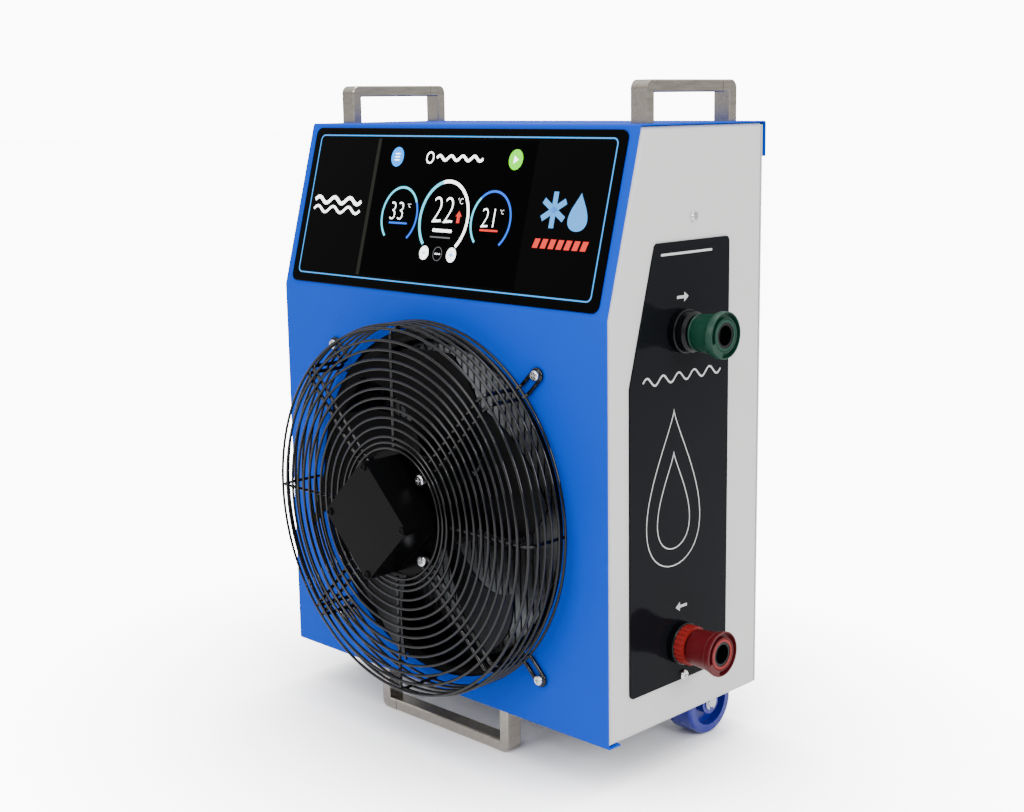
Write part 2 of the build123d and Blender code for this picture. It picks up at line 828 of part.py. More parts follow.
wires = []
for quarter in range(4):
    angle = 45 + 90 * quarter
    for sideways in (-loop_half_width, loop_half_width):
        doubled = (
            (motor_screw_circle, wire_face),
            (wire_side, wire_face),
            (wire_side, ear_face),
            (ear_circle, ear_face),
        )
        wires.append(wire_band(radial_plane(angle, sideways), doubled, loop_wire, loop_wire))
    wires.append(wire_loop(angle, motor_screw_circle, wire_face - loop_wire, -1))
    wires.append(wire_loop(angle, ear_circle, weld_gap, 1))
    single = (
        (inner_rings[0] - ring_wire / 2, wire_face),
        (wire_side, wire_face),
        (wire_side, base_ring_height - ring_wire / 2),
    )
    wires.append(wire_band(radial_plane(90 * quarter, 0), single, spoke_wire, spoke_wire))

ring_back = wire_face - weld_sink
for radius in inner_rings:
    wires.append(polygon_ring(radius - ring_wire / 2, ring_back, 24))
for number in range(front_ring_count):
    radius = first_ring + number * ring_pitch
    wires.append(polygon_ring(radius - ring_wire / 2, ring_back, 24 if radius < 130 else 32))
bend_drop = guard_bend * (1 - cos(radians(45)))
wires.append(polygon_ring(wire_side - bend_drop - weld_sink, wire_face - bend_drop - weld_sink, 40))
for number in range(1, side_ring_count):
    height = base_ring_height + number * side_ring_pitch
    wires.append(polygon_ring(wire_side - weld_sink, height - ring_wire / 2, 40))
wires.append(polygon_ring(wire_side - weld_sink, ear_face - weld_sink, 40))

with BuildPart() as fan_guard:
    add(wires)
write(fan_guard, "fan_guard")

ear_screw = screw(pan_head, pan_height, ear_face + 2 * sheet - 0.2)
with BuildPart() as guard_screws:
    for quarter in range(4):
        c = cos(radians(45 + 90 * quarter))
        s = sin(radians(45 + 90 * quarter))
        add(place(ear_screw, ear_circle * c, front - ear_face, fan_z + ear_circle * s, (0, -1, 0)))
write(guard_screws, "guard_screws")

motor_screw = screw(motor_head, pan_height, loop_wire + weld_gap + motor_flange_thickness + 2)
with BuildPart() as motor_screws:
    for quarter in range(4):
        x = motor_screw_circle * cos(radians(45 + 90 * quarter))
        z = motor_screw_circle * sin(radians(45 + 90 * quarter))
        add(place(motor_screw, x, front - wire_face, fan_z + z, (0, -1, 0)))
write(motor_screws, "motor_screws")

# Terminal box: a deep base on the motor flange and a lid held by four corner screws
post = terminal_side / 2 - terminal_wall - lid_screw_inset / 2
box_face = flange_front + terminal_box_depth
lid_face = box_face + terminal_lid_depth


def terminal_plane(height):
    """A plane across the terminal box, turned so that one of its corners points up."""
    return fan_face(-height, 45)


def terminal_shell(start, depth, floor_at_start):
    """A square cup with a screw post in each corner, open at one end."""
    inner = terminal_side - 2 * terminal_wall
    inside = start + terminal_wall if floor_at_start else start
    with BuildPart() as shell:
        with BuildSketch(terminal_plane(start)):
            RectangleRounded(terminal_side, terminal_side, terminal_corner)
        extrude(amount=depth)
        with BuildSketch(terminal_plane(inside)):
            RectangleRounded(inner, inner, terminal_corner - terminal_wall)
            with GridLocations(2 * post, 2 * post, 2, 2):
                Circle(lid_screw_inset, mode=Mode.SUBTRACT)
        extrude(amount=depth - terminal_wall, mode=Mode.SUBTRACT)
        with BuildSketch(terminal_plane(start)):
            with GridLocations(2 * post, 2 * post, 2, 2):
                Circle(screw_shank + 0.1)
        extrude(amount=depth, mode=Mode.SUBTRACT)
    return shell.part


with BuildPart() as terminal_box:
    add(terminal_shell(flange_front, terminal_box_depth, True))
write(terminal_box, "terminal_box")

with BuildPart() as terminal_lid:
    add(terminal_shell(box_face, terminal_lid_depth, False))
write(terminal_lid, "terminal_lid")

lid_screw = screw(4.4, 2.4, terminal_lid_depth + terminal_box_depth / 2)
lid_plane = terminal_plane(lid_face)
with BuildPart() as lid_screws:
    for a in (-post, post):
        for b in (-post, post):
            spot = lid_plane.origin + lid_plane.x_dir * a + lid_plane.y_dir * b
            add(place(lid_screw, spot.X, spot.Y, spot.Z, (0, -1, 0)))
write(lid_screws, "lid_screws")

# Condenser coil: finned block with return bends and two stubs at its back
coil_front = front + casing_depth - coil_back_gap - coil_thickness
coil_back = coil_front + coil_thickness
coil_bottom = fan_z - coil_width / 2
coil_stub_top = (-137.0, fan_z + 175.0)
coil_stub_low = (-40.0, fan_z - 175.0)
fin_count = int(coil_width / fin_step)
with BuildPart() as condenser_coil:
    with BuildSketch(Plane.XZ.offset(-coil_front)):
        with Locations((0, fan_z)):
            Rectangle(coil_width, coil_width)
    extrude(amount=-coil_thickness)
    with BuildSketch(Plane.XZ.offset(-coil_front)):
        with Locations((0, fan_z)):
            with GridLocations(fin_step, 0, fin_count - 1, 1):
                Rectangle(fin_slot, coil_width - 2 * fin_step)
    extrude(amount=-coil_thickness / 4, mode=Mode.SUBTRACT)
    for side in (-1, 1):
        for row in range(tube_rows - 1 if side > 0 else tube_rows):
            z = coil_bottom + return_bend_pitch * (row + (1 if side > 0 else 0.5))
            with BuildSketch(Plane.XZ.offset(-(coil_front + coil_thickness / 2))):
                with Locations((side * coil_width / 2, z)):
                    Rectangle(16, 26)
            extrude(amount=refrigerant_pipe, both=True)
    for x, z in (coil_stub_top, coil_stub_low):
        with BuildSketch(Plane.XZ.offset(-coil_back)):
            with Locations((x, z)):
                Circle(refrigerant_pipe if z > fan_z else liquid_pipe_radius)
        extrude(amount=-coil_stub)
write(condenser_coil, "condenser_coil")

# Compressor on rubber feet
compressor_x = -115.0
compressor_y = 168.0
foot_height = 12.0
compressor_radius = 56.0
compressor_height = 196.0
base_z = tray_top + foot_height
foot_spread = 43.0
discharge_at = (compressor_x - 22.0, compressor_y)
suction_z = base_z + 150.0
compressor_top = base_z + compressor_height
port_rise = 12.0
with BuildPart() as compressor:
    with BuildSketch(Plane.XY.offset(base_z)):
        with Locations((compressor_x, compressor_y)):
            RectangleRounded(104, 104, 12)
            with GridLocations(2 * foot_spread, 2 * foot_spread, 2, 2):
                Circle(4.2, mode=Mode.SUBTRACT)
    extrude(amount=3)
    with BuildSketch(Plane.XY.offset(base_z + 3)):
        with Locations((compressor_x, compressor_y)):
            Circle(compressor_radius - 10)
    extrude(amount=compressor_height - 3)
    shell = compressor.edges().filter_by(GeomType.CIRCLE).group_by(Axis.Z)[-1]
    fillet(shell, 22)
    with BuildSketch(Plane.XY.offset(compressor_top - 24)):
        with Locations(discharge_at):
            Circle(refrigerant_pipe)
    extrude(amount=24 + port_rise)
    with BuildSketch(Plane.YZ.offset(compressor_x)):
        with Locations((compressor_y, suction_z)):
            Circle(refrigerant_pipe)
    extrude(amount=compressor_radius)
    with BuildSketch(Plane.XZ.offset(-compressor_y)):
        with Locations((compressor_x, base_z + 120)):
            Rectangle(34, 48)
    extrude(amount=compressor_radius)
write(compressor, "compressor")

with BuildPart() as compressor_feet:
    with BuildSketch(Plane.XY.offset(tray_top)):
        with Locations((compressor_x, compressor_y)):
            with GridLocations(2 * foot_spread, 2 * foot_spread, 2, 2):
                Circle(9)
    extrude(amount=foot_height)
    with BuildSketch(Plane.XY.offset(base_z)):
        with Locations((compressor_x, compressor_y)):
            with GridLocations(2 * foot_spread, 2 * foot_spread, 2, 2):
                Circle(4.1)
    extrude(amount=8)
write(compressor_feet, "compressor_feet")

# Evaporator: stacked plates with water ports on one side and refrigerant ports on the other
evaporator_x = 100.0
evaporator_y = 168.0
evaporator_size = (60.0, 76.0, 206.0)
port_y = 20.0
low_port_z = tray_top + 25.0
high_port_z = tray_top + evaporator_size[2] - 25.0
port_reach = 12.0
plate_pitch = 12.0
with BuildPart() as evaporator:
    with BuildSketch(Plane.XY.offset(tray_top)):
        with Locations((evaporator_x, evaporator_y)):
            RectangleRounded(evaporator_size[0], evaporator_size[1], 8)
    extrude(amount=evaporator_size[2])
    for number in range(1, int(evaporator_size[0] / plate_pitch)):
        with BuildSketch(Plane.YZ.offset(evaporator_x - evaporator_size[0] / 2 + number * plate_pitch)):
            with Locations((evaporator_y, tray_top)):
                Rectangle(evaporator_size[1] + 4, evaporator_size[2], align=(Align.CENTER, Align.MIN))
                Rectangle(evaporator_size[1] - 5, evaporator_size[2], align=(Align.CENTER, Align.MIN), mode=Mode.SUBTRACT)
        extrude(amount=2, mode=Mode.SUBTRACT)
    evaporator_right = evaporator_x + evaporator_size[0] / 2
    evaporator_left = evaporator_x - evaporator_size[0] / 2
    with BuildSketch(Plane.YZ.offset(evaporator_right)):
        with Locations((evaporator_y + port_y, low_port_z), (evaporator_y - port_y, high_port_z)):
            Circle(hose_radius)
    extrude(amount=port_reach)
    with BuildSketch(Plane.YZ.offset(evaporator_left)):
        with Locations((evaporator_y - port_y, high_port_z)):
            Circle(refrigerant_pipe)
        with Locations((evaporator_y + port_y, low_port_z)):
            Circle(liquid_pipe_radius)
    extrude(amount=-port_reach)
write(evaporator, "evaporator")

# Filter drier: spun copper can on the liquid line
drier_x = -40.0
drier_y = 205.0
drier_low = 120.0
drier_high = 210.0
drier_radius = 13.0
with BuildPart() as filter_drier:
    with BuildSketch(Plane(origin=(drier_x, drier_y, 0), x_dir=(1, 0, 0), z_dir=(0, -1, 0))):
        with BuildLine():
            Polyline(
                (0, drier_low),
                (liquid_pipe_radius, drier_low),
                (liquid_pipe_radius, drier_low + 8),
                (drier_radius, drier_low + 20),
                (drier_radius, drier_high - 20),
                (liquid_pipe_radius, drier_high - 8),
                (liquid_pipe_radius, drier_high),
                (0, drier_high),
                close=True,
            )
        make_face()
    revolve(axis=Axis((drier_x, drier_y, 0), (0, 0, 1)))
write(filter_drier, "filter_drier")


# Pipes and hoses
def tube(points, bend, radius, bore, label):
    """A tube along straight runs joined by bends, open at both ends."""
    start = Vector(*points[0])
    with BuildPart() as run:
        with BuildLine():
            path = FilletPolyline(*points, radius=bend)
        with BuildSketch(Plane(origin=start, z_dir=Vector(*points[1]) - start)):
            Circle(radius)
            if bore:
                Circle(bore, mode=Mode.SUBTRACT)
        sweep(path=path)
    write(run, label)


stub_y = coil_back + coil_stub
pipe_bore = refrigerant_pipe - 1.0
discharge_points = (
    (discharge_at[0], discharge_at[1], compressor_top + port_rise),
    (coil_stub_top[0], compressor_y, coil_stub_top[1]),
    (coil_stub_top[0], stub_y, coil_stub_top[1]),
)
tube(discharge_points, 20.0, refrigerant_pipe, pipe_bore, "discharge_pipe")
liquid_points = (
    (coil_stub_low[0], stub_y, coil_stub_low[1]),
    (drier_x, drier_y, coil_stub_low[1]),
    (drier_x, drier_y, drier_low),
)
tube(liquid_points, 15.0, liquid_pipe_radius, liquid_pipe_radius - 0.8, "liquid_pipe")
capillary_rise = 22.0
capillary_reach = 45.0
refrigerant_end = evaporator_left - port_reach
capillary_points = (
    (drier_x, drier_y, drier_high),
    (drier_x, drier_y, drier_high + capillary_rise),
    (drier_x + capillary_reach, drier_y, drier_high + capillary_rise),
    (drier_x + capillary_reach, evaporator_y + port_y, low_port_z),
    (refrigerant_end, evaporator_y + port_y, low_port_z),
)
tube(capillary_points, 8.0, capillary_radius, 0, "capillary")
suction_points = (
    (refrigerant_end, evaporator_y - port_y, high_port_z),
    (refrigerant_end - 38, evaporator_y - port_y, high_port_z),
    (compressor_x + compressor_radius + 38, compressor_y, suction_z),
    (compressor_x + compressor_radius, compressor_y, suction_z),
)
tube(suction_points, 20.0, refrigerant_pipe, pipe_bore, "suction_pipe")

# Water pump: round motor on a volute, inlet to the right, outlet to the left
pump_x = 172.0
pump_y = 128.0
pump_radius = 26.0
pump_port_z = tray_top + 22.0
pump_out_z = low_port_z
with BuildPart() as water_pump:
    with BuildSketch(Plane.XY.offset(tray_top)):
        with Locations((pump_x, pump_y)):
            Rectangle(40, 32)
    extrude(amount=5)
    with BuildSketch(Plane.XY.offset(tray_top + 5)):
        with Locations((pump_x, pump_y)):
            Circle(pump_radius)
    extrude(amount=40)
    with BuildSketch(Plane.XY.offset(tray_top + 45)):
        with Locations((pump_x, pump_y)):
            Circle(pump_radius - 3)
    extrude(amount=55)
    chamfer(water_pump.edges().filter_by(GeomType.CIRCLE).group_by(Axis.Z)[-1], 4)
    with BuildSketch(Plane.YZ.offset(pump_x)):
        with Locations((pump_y, pump_port_z)):
            Circle(hose_radius)
    extrude(amount=pump_radius + 6)
    with BuildSketch(Plane.XZ.offset(-pump_y)):
        with Locations((pump_x - pump_radius + hose_radius, pump_out_z)):
            Circle(hose_radius)
    extrude(amount=-(pump_radius + 4))
write(water_pump, "water_pump")

hose_wall = 2.5
hose_bore = hose_radius - hose_wall
locknut_face = half_width - sheet - locknut_length
barb_end = locknut_face - barb_length
hose_drop_x = barb_end - hose_bend - 2.5
pump_in_x = pump_x + pump_radius + 6
return_points = (
    (barb_end, coupling_y, coupling_heights["red"]),
    (hose_drop_x, coupling_y, coupling_heights["red"]),
    (hose_drop_x, pump_y, pump_port_z),
    (pump_in_x, pump_y, pump_port_z),
)
tube(return_points, 14.0, hose_radius, hose_bore, "hose_return")
pump_out_x = pump_x - pump_radius + hose_radius
water_end = evaporator_right + port_reach
feed_points = (
    (pump_out_x, pump_y + pump_radius + 4, pump_out_z),
    (pump_out_x, evaporator_y + port_y, low_port_z),
    (water_end, evaporator_y + port_y, low_port_z),
)
tube(feed_points, 12.0, hose_radius, hose_bore, "hose_pump")
supply_points = (
    (water_end, evaporator_y - port_y, high_port_z),
    (hose_drop_x, evaporator_y - port_y, high_port_z),
    (hose_drop_x, evaporator_y - port_y, coupling_heights["green"] - 60),
    (hose_drop_x, coupling_y, coupling_heights["green"]),
    (barb_end, coupling_y, coupling_heights["green"]),
)
tube(supply_points, 15.0, hose_radius, hose_bore, "hose_supply")

# Control box on the upper shelf
with BuildPart() as control_box:
    with BuildSketch(Plane.XY.offset(shelf_z + sheet)):
        with Locations((70, 160)):
            RectangleRounded(220, 110, 6)
    extrude(amount=95)
    chamfer(control_box.faces().sort_by(Axis.Z)[-1].edges(), 3)
write(control_box, "control_box")

# Mains inlet with its own rocker switch, set in the rear panel
inlet_depth = 30.0
inlet_flange = 3.0
socket_size = (23.0, 16.0)
socket_z = inlet_z - 10.0
rocker_z = inlet_z + 13.0
rocker_size = (19.0, 13.0)
rocker_axis_depth = 4.0
rocker_swing = 14.0
rear_face = back + sheet
with BuildPart() as mains_inlet:
    with BuildSketch(Plane.XZ.offset(-rear_face)):
        with Locations((inlet_x, inlet_z)):
            RectangleRounded(inlet_body_width + 6, inlet_body_height + 6, 2)
    extrude(amount=-inlet_flange)
    with BuildSketch(Plane.XZ.offset(-rear_face)):
        with Locations((inlet_x, inlet_z)):
            Rectangle(inlet_body_width, inlet_body_height)
    extrude(amount=inlet_depth)
    outer_face = rear_face + inlet_flange
    with BuildSketch(Plane.XZ.offset(-outer_face)):
        with Locations((inlet_x, socket_z)):
            Rectangle(*socket_size)
        with Locations((inlet_x, rocker_z)):
            Rectangle(*rocker_size)
    extrude(amount=17, mode=Mode.SUBTRACT)
    with BuildSketch(Plane.XZ.offset(-(outer_face - 17))):
        with Locations((inlet_x, socket_z + 3), (inlet_x - 7, socket_z - 2), (inlet_x + 7, socket_z - 2)):
            Rectangle(2, 4.6)
    extrude(amount=-14)
write(mains_inlet, "mains_inlet")

rocker_y = outer_face - rocker_axis_depth
with BuildPart() as power_switch:
    with BuildSketch(Plane.YZ.offset(inlet_x)):
        with BuildLine():
            Polyline(
                (rocker_y, rocker_z + 5.2),
                (rocker_y + 4.6, rocker_z + 5.2),
                (rocker_y + 4.0, rocker_z),
                (rocker_y + 4.6, rocker_z - 5.2),
                (rocker_y, rocker_z - 5.2),
                (rocker_y - 5, rocker_z),
                close=True,
            )
        make_face()
    extrude(amount=rocker_size[0] / 2 - 0.4, both=True)
    rocker_axis = Axis((inlet_x, rocker_y, rocker_z), (1, 0, 0))
    resting = power_switch.part.rotate(rocker_axis, -rocker_swing / 2)
    add(resting, mode=Mode.REPLACE)
write(power_switch, "power_switch")

# Couplings: body through the panel, collar, sprung release sleeve and sprung valve
seat = half_width + inlay_thickness
collar_start = seat + flange_length
collar_end = collar_start + collar_length
sleeve_start = collar_end + collar_groove
sleeve_end = sleeve_start + sleeve_length
nose_end = sleeve_end - nose_set_back
socket_bottom = nose_end - socket_depth
chamber_end = socket_bottom - valve_length - valve_travel - 1
sleeve_bore = nose_radius + slide_clearance
valve_radius = valve_bore - slide_clearance


def turned(points, z):
    """A ring turned about a coupling's axis from (x, radius) points."""
    with BuildPart() as ring:
        with BuildSketch(cross_plane(coupling_y, z)):
            with BuildLine():
                Polyline(*points, close=True)
            make_face()
        revolve(axis=Axis((0, coupling_y, z), (1, 0, 0)))
    return ring.part


for colour in ("green", "red"):
    z = coupling_heights[colour]
    body_outline = (
        (barb_end, liquid_bore - 2),
        (barb_end, hose_radius),
        (locknut_face, hose_radius),
        (locknut_face, thread_radius),
        (seat, thread_radius),
        (seat, flange_radius),
        (collar_start - 1, flange_radius),
        (collar_start, flange_radius - 1),
        (collar_start, nose_radius),
        (sleeve_end - nose_recess, nose_radius),
        (sleeve_end - nose_recess, socket_radius + groove_wall),
        (nose_end, socket_radius + groove_wall),
        (nose_end, socket_radius),
        (socket_bottom, socket_radius),
        (socket_bottom, valve_bore),
        (chamber_end, valve_bore),
        (chamber_end, liquid_bore - 2),
    )
    shoulder = (
        (collar_start - 0.5, nose_radius - 1),
        (collar_start - 0.5, collar_radius),
        (collar_end - 3, collar_radius),
        (collar_end, collar_radius - 3),
        (collar_end, nose_radius - 1),
    )
    with BuildPart() as coupling_body:
        add(turned(body_outline, z))
        if colour == "green":
            add(turned(shoulder, z))
    write(coupling_body, f"coupling_{colour}_body")

    sleeve_outline = (
        (sleeve_start, sleeve_bore),
        (sleeve_start, sleeve_radius),
        (sleeve_end - rim_length - rim_flare, sleeve_radius + 1),
        (sleeve_end - rim_length, rim_radius),
        (sleeve_end - 1, rim_radius),
        (sleeve_end, rim_radius - 1),
        (sleeve_end, sleeve_bore + 0.5),
        (sleeve_end - 0.5, sleeve_bore),
    )
    with BuildPart() as coupling_sleeve:
        add(turned(sleeve_outline, z))
    write(coupling_sleeve, f"coupling_{colour}_sleeve")

    valve_outline = (
        (socket_bottom - valve_length, valve_hollow),
        (socket_bottom - valve_length, valve_radius),
        (socket_bottom - 1, valve_radius),
        (socket_bottom, valve_radius - 1),
        (socket_bottom, 0),
        (socket_bottom - 4, 0),
        (socket_bottom - 4, valve_hollow),
    )
    with BuildPart() as coupling_valve:
        add(turned(valve_outline, z))
    write(coupling_valve, f"coupling_{colour}_valve")

red_height = coupling_heights["red"]
with BuildPart() as coupling_red_collar:
    with BuildSketch(Plane.YZ.offset(collar_start)):
        with Locations((coupling_y, red_height)):
            Circle(collar_radius)
            with PolarLocations(collar_radius, collar_teeth):
                Rectangle(1.6, 2.2, mode=Mode.SUBTRACT)
            Circle(nose_radius, mode=Mode.SUBTRACT)
    extrude(amount=collar_length)
write(coupling_red_collar, "coupling_red_collar")

with BuildPart() as coupling_locknuts:
    for z in coupling_heights.values():
        with BuildSketch(Plane.YZ.offset(locknut_face)):
            with Locations((coupling_y, z)):
                RegularPolygon(locknut_radius, 6)
                Circle(thread_radius, mode=Mode.SUBTRACT)
        extrude(amount=locknut_length)
write(coupling_locknuts, "coupling_locknuts")
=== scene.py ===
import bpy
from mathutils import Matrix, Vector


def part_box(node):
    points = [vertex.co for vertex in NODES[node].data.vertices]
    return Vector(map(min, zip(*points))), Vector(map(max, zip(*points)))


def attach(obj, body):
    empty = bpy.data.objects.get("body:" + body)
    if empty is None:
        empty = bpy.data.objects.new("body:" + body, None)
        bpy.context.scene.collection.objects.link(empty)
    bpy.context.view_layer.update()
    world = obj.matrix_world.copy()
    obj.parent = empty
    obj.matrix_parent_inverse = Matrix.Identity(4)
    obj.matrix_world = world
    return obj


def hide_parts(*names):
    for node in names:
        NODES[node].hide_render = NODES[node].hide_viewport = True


bl_info = {
    "name": "Portable chiller dressing",
    "version": (1, 0, 0),
    "blender": (4, 5, 0),
    "location": "View3D > Sidebar > Chiller",
    "description": "Builds the visible pieces and finishes of a portable chiller around its frame",
    "category": "Object",
}

from math import cos, pi, radians, sin

import bmesh
import bpy
from bpy.props import FloatProperty, FloatVectorProperty, IntProperty, PointerProperty
from mathutils import Matrix, Vector

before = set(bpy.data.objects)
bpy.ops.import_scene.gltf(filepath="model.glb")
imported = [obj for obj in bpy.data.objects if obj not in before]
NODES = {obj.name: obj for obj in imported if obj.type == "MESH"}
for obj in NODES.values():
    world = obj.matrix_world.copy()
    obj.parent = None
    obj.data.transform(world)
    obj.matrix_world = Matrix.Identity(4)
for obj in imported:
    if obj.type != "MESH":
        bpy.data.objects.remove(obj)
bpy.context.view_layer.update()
MM = 0.001

# Places read from the frame
WRAP_LOW, WRAP_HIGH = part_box("outer_wrap")
MOTOR_LOW, MOTOR_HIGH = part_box("fan_motor")
INLAY_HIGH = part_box("side_inlay")[1]
FRONT_Y = WRAP_LOW.y
FAN_Z = (MOTOR_LOW.z + MOTOR_HIGH.z) / 2
FOLD_Z = WRAP_LOW.z + 0.450
SLOPE_BACK = 0.052
SLOPE_RISE = WRAP_HIGH.z - FOLD_Z
SLOPE_LENGTH = (SLOPE_BACK**2 + SLOPE_RISE**2) ** 0.5
SLOPE_UP = Vector((0, SLOPE_BACK, SLOPE_RISE)) / SLOPE_LENGTH
SLOPE_OUT = Vector((0, -SLOPE_RISE, SLOPE_BACK)) / SLOPE_LENGTH


# Node helpers
def node(tree, kind, inputs=None, **properties):
    """A new node: properties first, then inputs, each a value or the socket that feeds it."""
    made = tree.nodes.new(kind)
    for key, value in properties.items():
        setattr(made, key, value)
    for key, value in (inputs or {}).items():
        if isinstance(value, bpy.types.NodeSocket):
            tree.links.new(value, made.inputs[key])
        else:
            made.inputs[key].default_value = value
    return made


def new_tree(name, kind, inputs, outputs):
    """A new node tree with named sockets, its inputs' sockets and its output node's sockets."""
    tree = bpy.data.node_groups.new(name, kind)
    face = tree.interface
    for label, sort, value in inputs:
        socket = face.new_socket(label, in_out="INPUT", socket_type="NodeSocket" + sort)
        if value is not None:
            socket.default_value = value
    for label, sort in outputs:
        face.new_socket(label, in_out="OUTPUT", socket_type="NodeSocket" + sort)
    return tree, tree.nodes.new("NodeGroupInput").outputs, tree.nodes.new("NodeGroupOutput").inputs


def maths(tree, operation, first, second):
    """The result of one sum on two values or sockets."""
    return node(tree, "ShaderNodeMath", {0: first, 1: second}, operation=operation).outputs[0]


def ranged(tree, value, low, high, new_low, new_high):
    """A value carried over from one range to another."""
    labels = ("Value", "From Min", "From Max", "To Min", "To Max")
    inputs = dict(zip(labels, (value, low, high, new_low, new_high)))
    return node(tree, "ShaderNodeMapRange", inputs).outputs["Result"]


def scaled(tree, color, factor):
    """A colour made lighter or darker."""
    made = node(tree, "ShaderNodeVectorMath", {0: color, "Scale": factor}, operation="SCALE")
    return made.outputs["Vector"]


def mottle(tree, place, scale, detail=2.0):
    """Noise at a place."""
    inputs = {"Vector": place, "Scale": scale, "Detail": detail}
    return node(tree, "ShaderNodeTexNoise", inputs).outputs["Fac"]


def object_place(tree):
    """The point's place in the object's own frame."""
    return node(tree, "ShaderNodeTexCoord").outputs["Object"]


SHADE_OUTPUTS = (("Color", "Color"), ("Roughness", "Float"), ("Normal", "Vector"))
SHADE_TARGETS = {"Color": "Base Color", "Roughness": "Roughness", "Normal": "Normal"}
DUST_COLOR = (0.55, 0.54, 0.52, 1)
PAINT_BUMP = 0.0002
METAL_BUMP = 0.0001


def end_shade(tree, out, into, color, shade, height, depth, distance):
    """Feed a shared group's three outputs."""
    tree.links.new(color, out["Color"])
    tree.links.new(maths(tree, "MULTIPLY", into["Roughness"], shade), out["Roughness"])
    inputs = {"Distance": distance, "Strength": depth, "Height": height}
    tree.links.new(node(tree, "ShaderNodeBump", inputs).outputs["Normal"], out["Normal"])


def painted_group():
    """A shared group for painted and moulded faces: colour drift, grain, dust and bump."""
    name = "Painted face"
    if name in bpy.data.node_groups:
        return bpy.data.node_groups[name]
    inputs = (
        ("Color", "Color", None),
        ("Drift", "Float", 0.05),
        ("Roughness", "Float", 0.4),
        ("Grain Scale", "Float", 900.0),
        ("Grain Depth", "Float", 0.05),
        ("Dust", "Float", 0.0),
    )
    tree, into, out = new_tree(name, "ShaderNodeTree", inputs, SHADE_OUTPUTS)
    place = object_place(tree)
    slow = mottle(tree, place, 5.0, 3.0)
    grain = mottle(tree, place, into["Grain Scale"])
    low = maths(tree, "SUBTRACT", 1.0, into["Drift"])
    high = maths(tree, "ADD", 1.0, into["Drift"])
    shade = ranged(tree, slow, 0.3, 0.7, low, high)
    facing = node(tree, "ShaderNodeNewGeometry").outputs["Normal"]
    rise = node(tree, "ShaderNodeSeparateXYZ", {0: facing}).outputs["Z"]
    dust = maths(tree, "MULTIPLY", ranged(tree, rise, 0.2, 1.0, 0.0, 1.0), into["Dust"])
    inputs = {
        "Factor": maths(tree, "MULTIPLY", dust, grain),
        "A": scaled(tree, into["Color"], shade),
        "B": DUST_COLOR,
    }
    color = node(tree, "ShaderNodeMix", inputs, data_type="RGBA").outputs["Result"]
    end_shade(tree, out, into, color, shade, grain, into["Grain Depth"], PAINT_BUMP)
    return tree


def brushed_group():
    """A shared group: fine streaks along one direction for brushed and ground metal."""
    name = "Brushed metal"
    if name in bpy.data.node_groups:
        return bpy.data.node_groups[name]
    inputs = (
        ("Color", "Color", None),
        ("Streak", "Vector", (40, 40, 900)),
        ("Roughness", "Float", 0.35),
        ("Depth", "Float", 0.1),
    )
    tree, into, out = new_tree(name, "ShaderNodeTree", inputs, SHADE_OUTPUTS)
    stretch = {0: object_place(tree), 1: into["Streak"]}
    stretched = node(tree, "ShaderNodeVectorMath", stretch, operation="MULTIPLY").outputs["Vector"]
    fibre = mottle(tree, stretched, 1.0, 3.0)
    shade = ranged(tree, fibre, 0.0, 1.0, 0.72, 1.18)
    color = scaled(tree, into["Color"], shade)
    end_shade(tree, out, into, color, shade, fibre, into["Depth"], METAL_BUMP)
    return tree


def principled(name):
    """A new node material with a bare Principled shader."""
    mat = bpy.data.materials.new(name)
    mat.use_nodes = True
    tree = mat.node_tree
    return mat, tree, tree.nodes["Principled BSDF"]


def dressed(name, group_tree, values):
    """A material whose colour, roughness and normal come from a shared group."""
    mat, tree, shader = principled(name)
    group = node(tree, "ShaderNodeGroup", values, node_tree=group_tree)
    for output, target in SHADE_TARGETS.items():
        tree.links.new(group.outputs[output], shader.inputs[target])
    return mat, shader


def painted(
    name, color, roughness, coat=0.0, grain=900.0, depth=0.05, drift=0.04, dust=0.0, specular=0.5
):
    """A painted or moulded finish."""
    values = {
        "Color": (*color, 1),
        "Drift": drift,
        "Roughness": roughness,
        "Grain Scale": grain,
        "Grain Depth": depth,
        "Dust": dust,
    }
    mat, shader = dressed(name, painted_group(), values)
    shader.inputs["Coat Weight"].default_value = coat
    shader.inputs["Coat Roughness"].default_value = 0.08
    shader.inputs["Metallic"].default_value = 0.0
    shader.inputs["Specular IOR Level"].default_value = specular
    return mat


def brushed(name, color, roughness, streak=(40, 900, 900), depth=0.12):
    """A brushed or ground bare metal."""
    values = {"Color": (*color, 1), "Streak": streak, "Roughness": roughness, "Depth": depth}
    mat, shader = dressed(name, brushed_group(), values)
    shader.inputs["Metallic"].default_value = 1.0
    return mat


def lit(name, color, strength):
    """A lit mark on the display: coloured light with a faint unevenness."""
    mat, tree, shader = principled(name)
    shader.inputs["Base Color"].default_value = (*color, 1)
    shader.inputs["Roughness"].default_value = 0.3
    shade = ranged(tree, mottle(tree, object_place(tree), 1500.0), 0.0, 1.0, 0.94, 1.06)
    tree.links.new(scaled(tree, color, shade), shader.inputs["Emission Color"])
    shader.inputs["Emission Strength"].default_value = strength
    return mat


MATERIALS = {}


def material(key):
    """The finish with that key, made once."""
    if key in MATERIALS:
        return MATERIALS[key]
    maker, *values = FINISHES[key]
    options = values.pop() if values and isinstance(values[-1], dict) else {}
    MATERIALS[key] = maker(key.replace("_", " ").capitalize(), *values, **options)
    return MATERIALS[key]


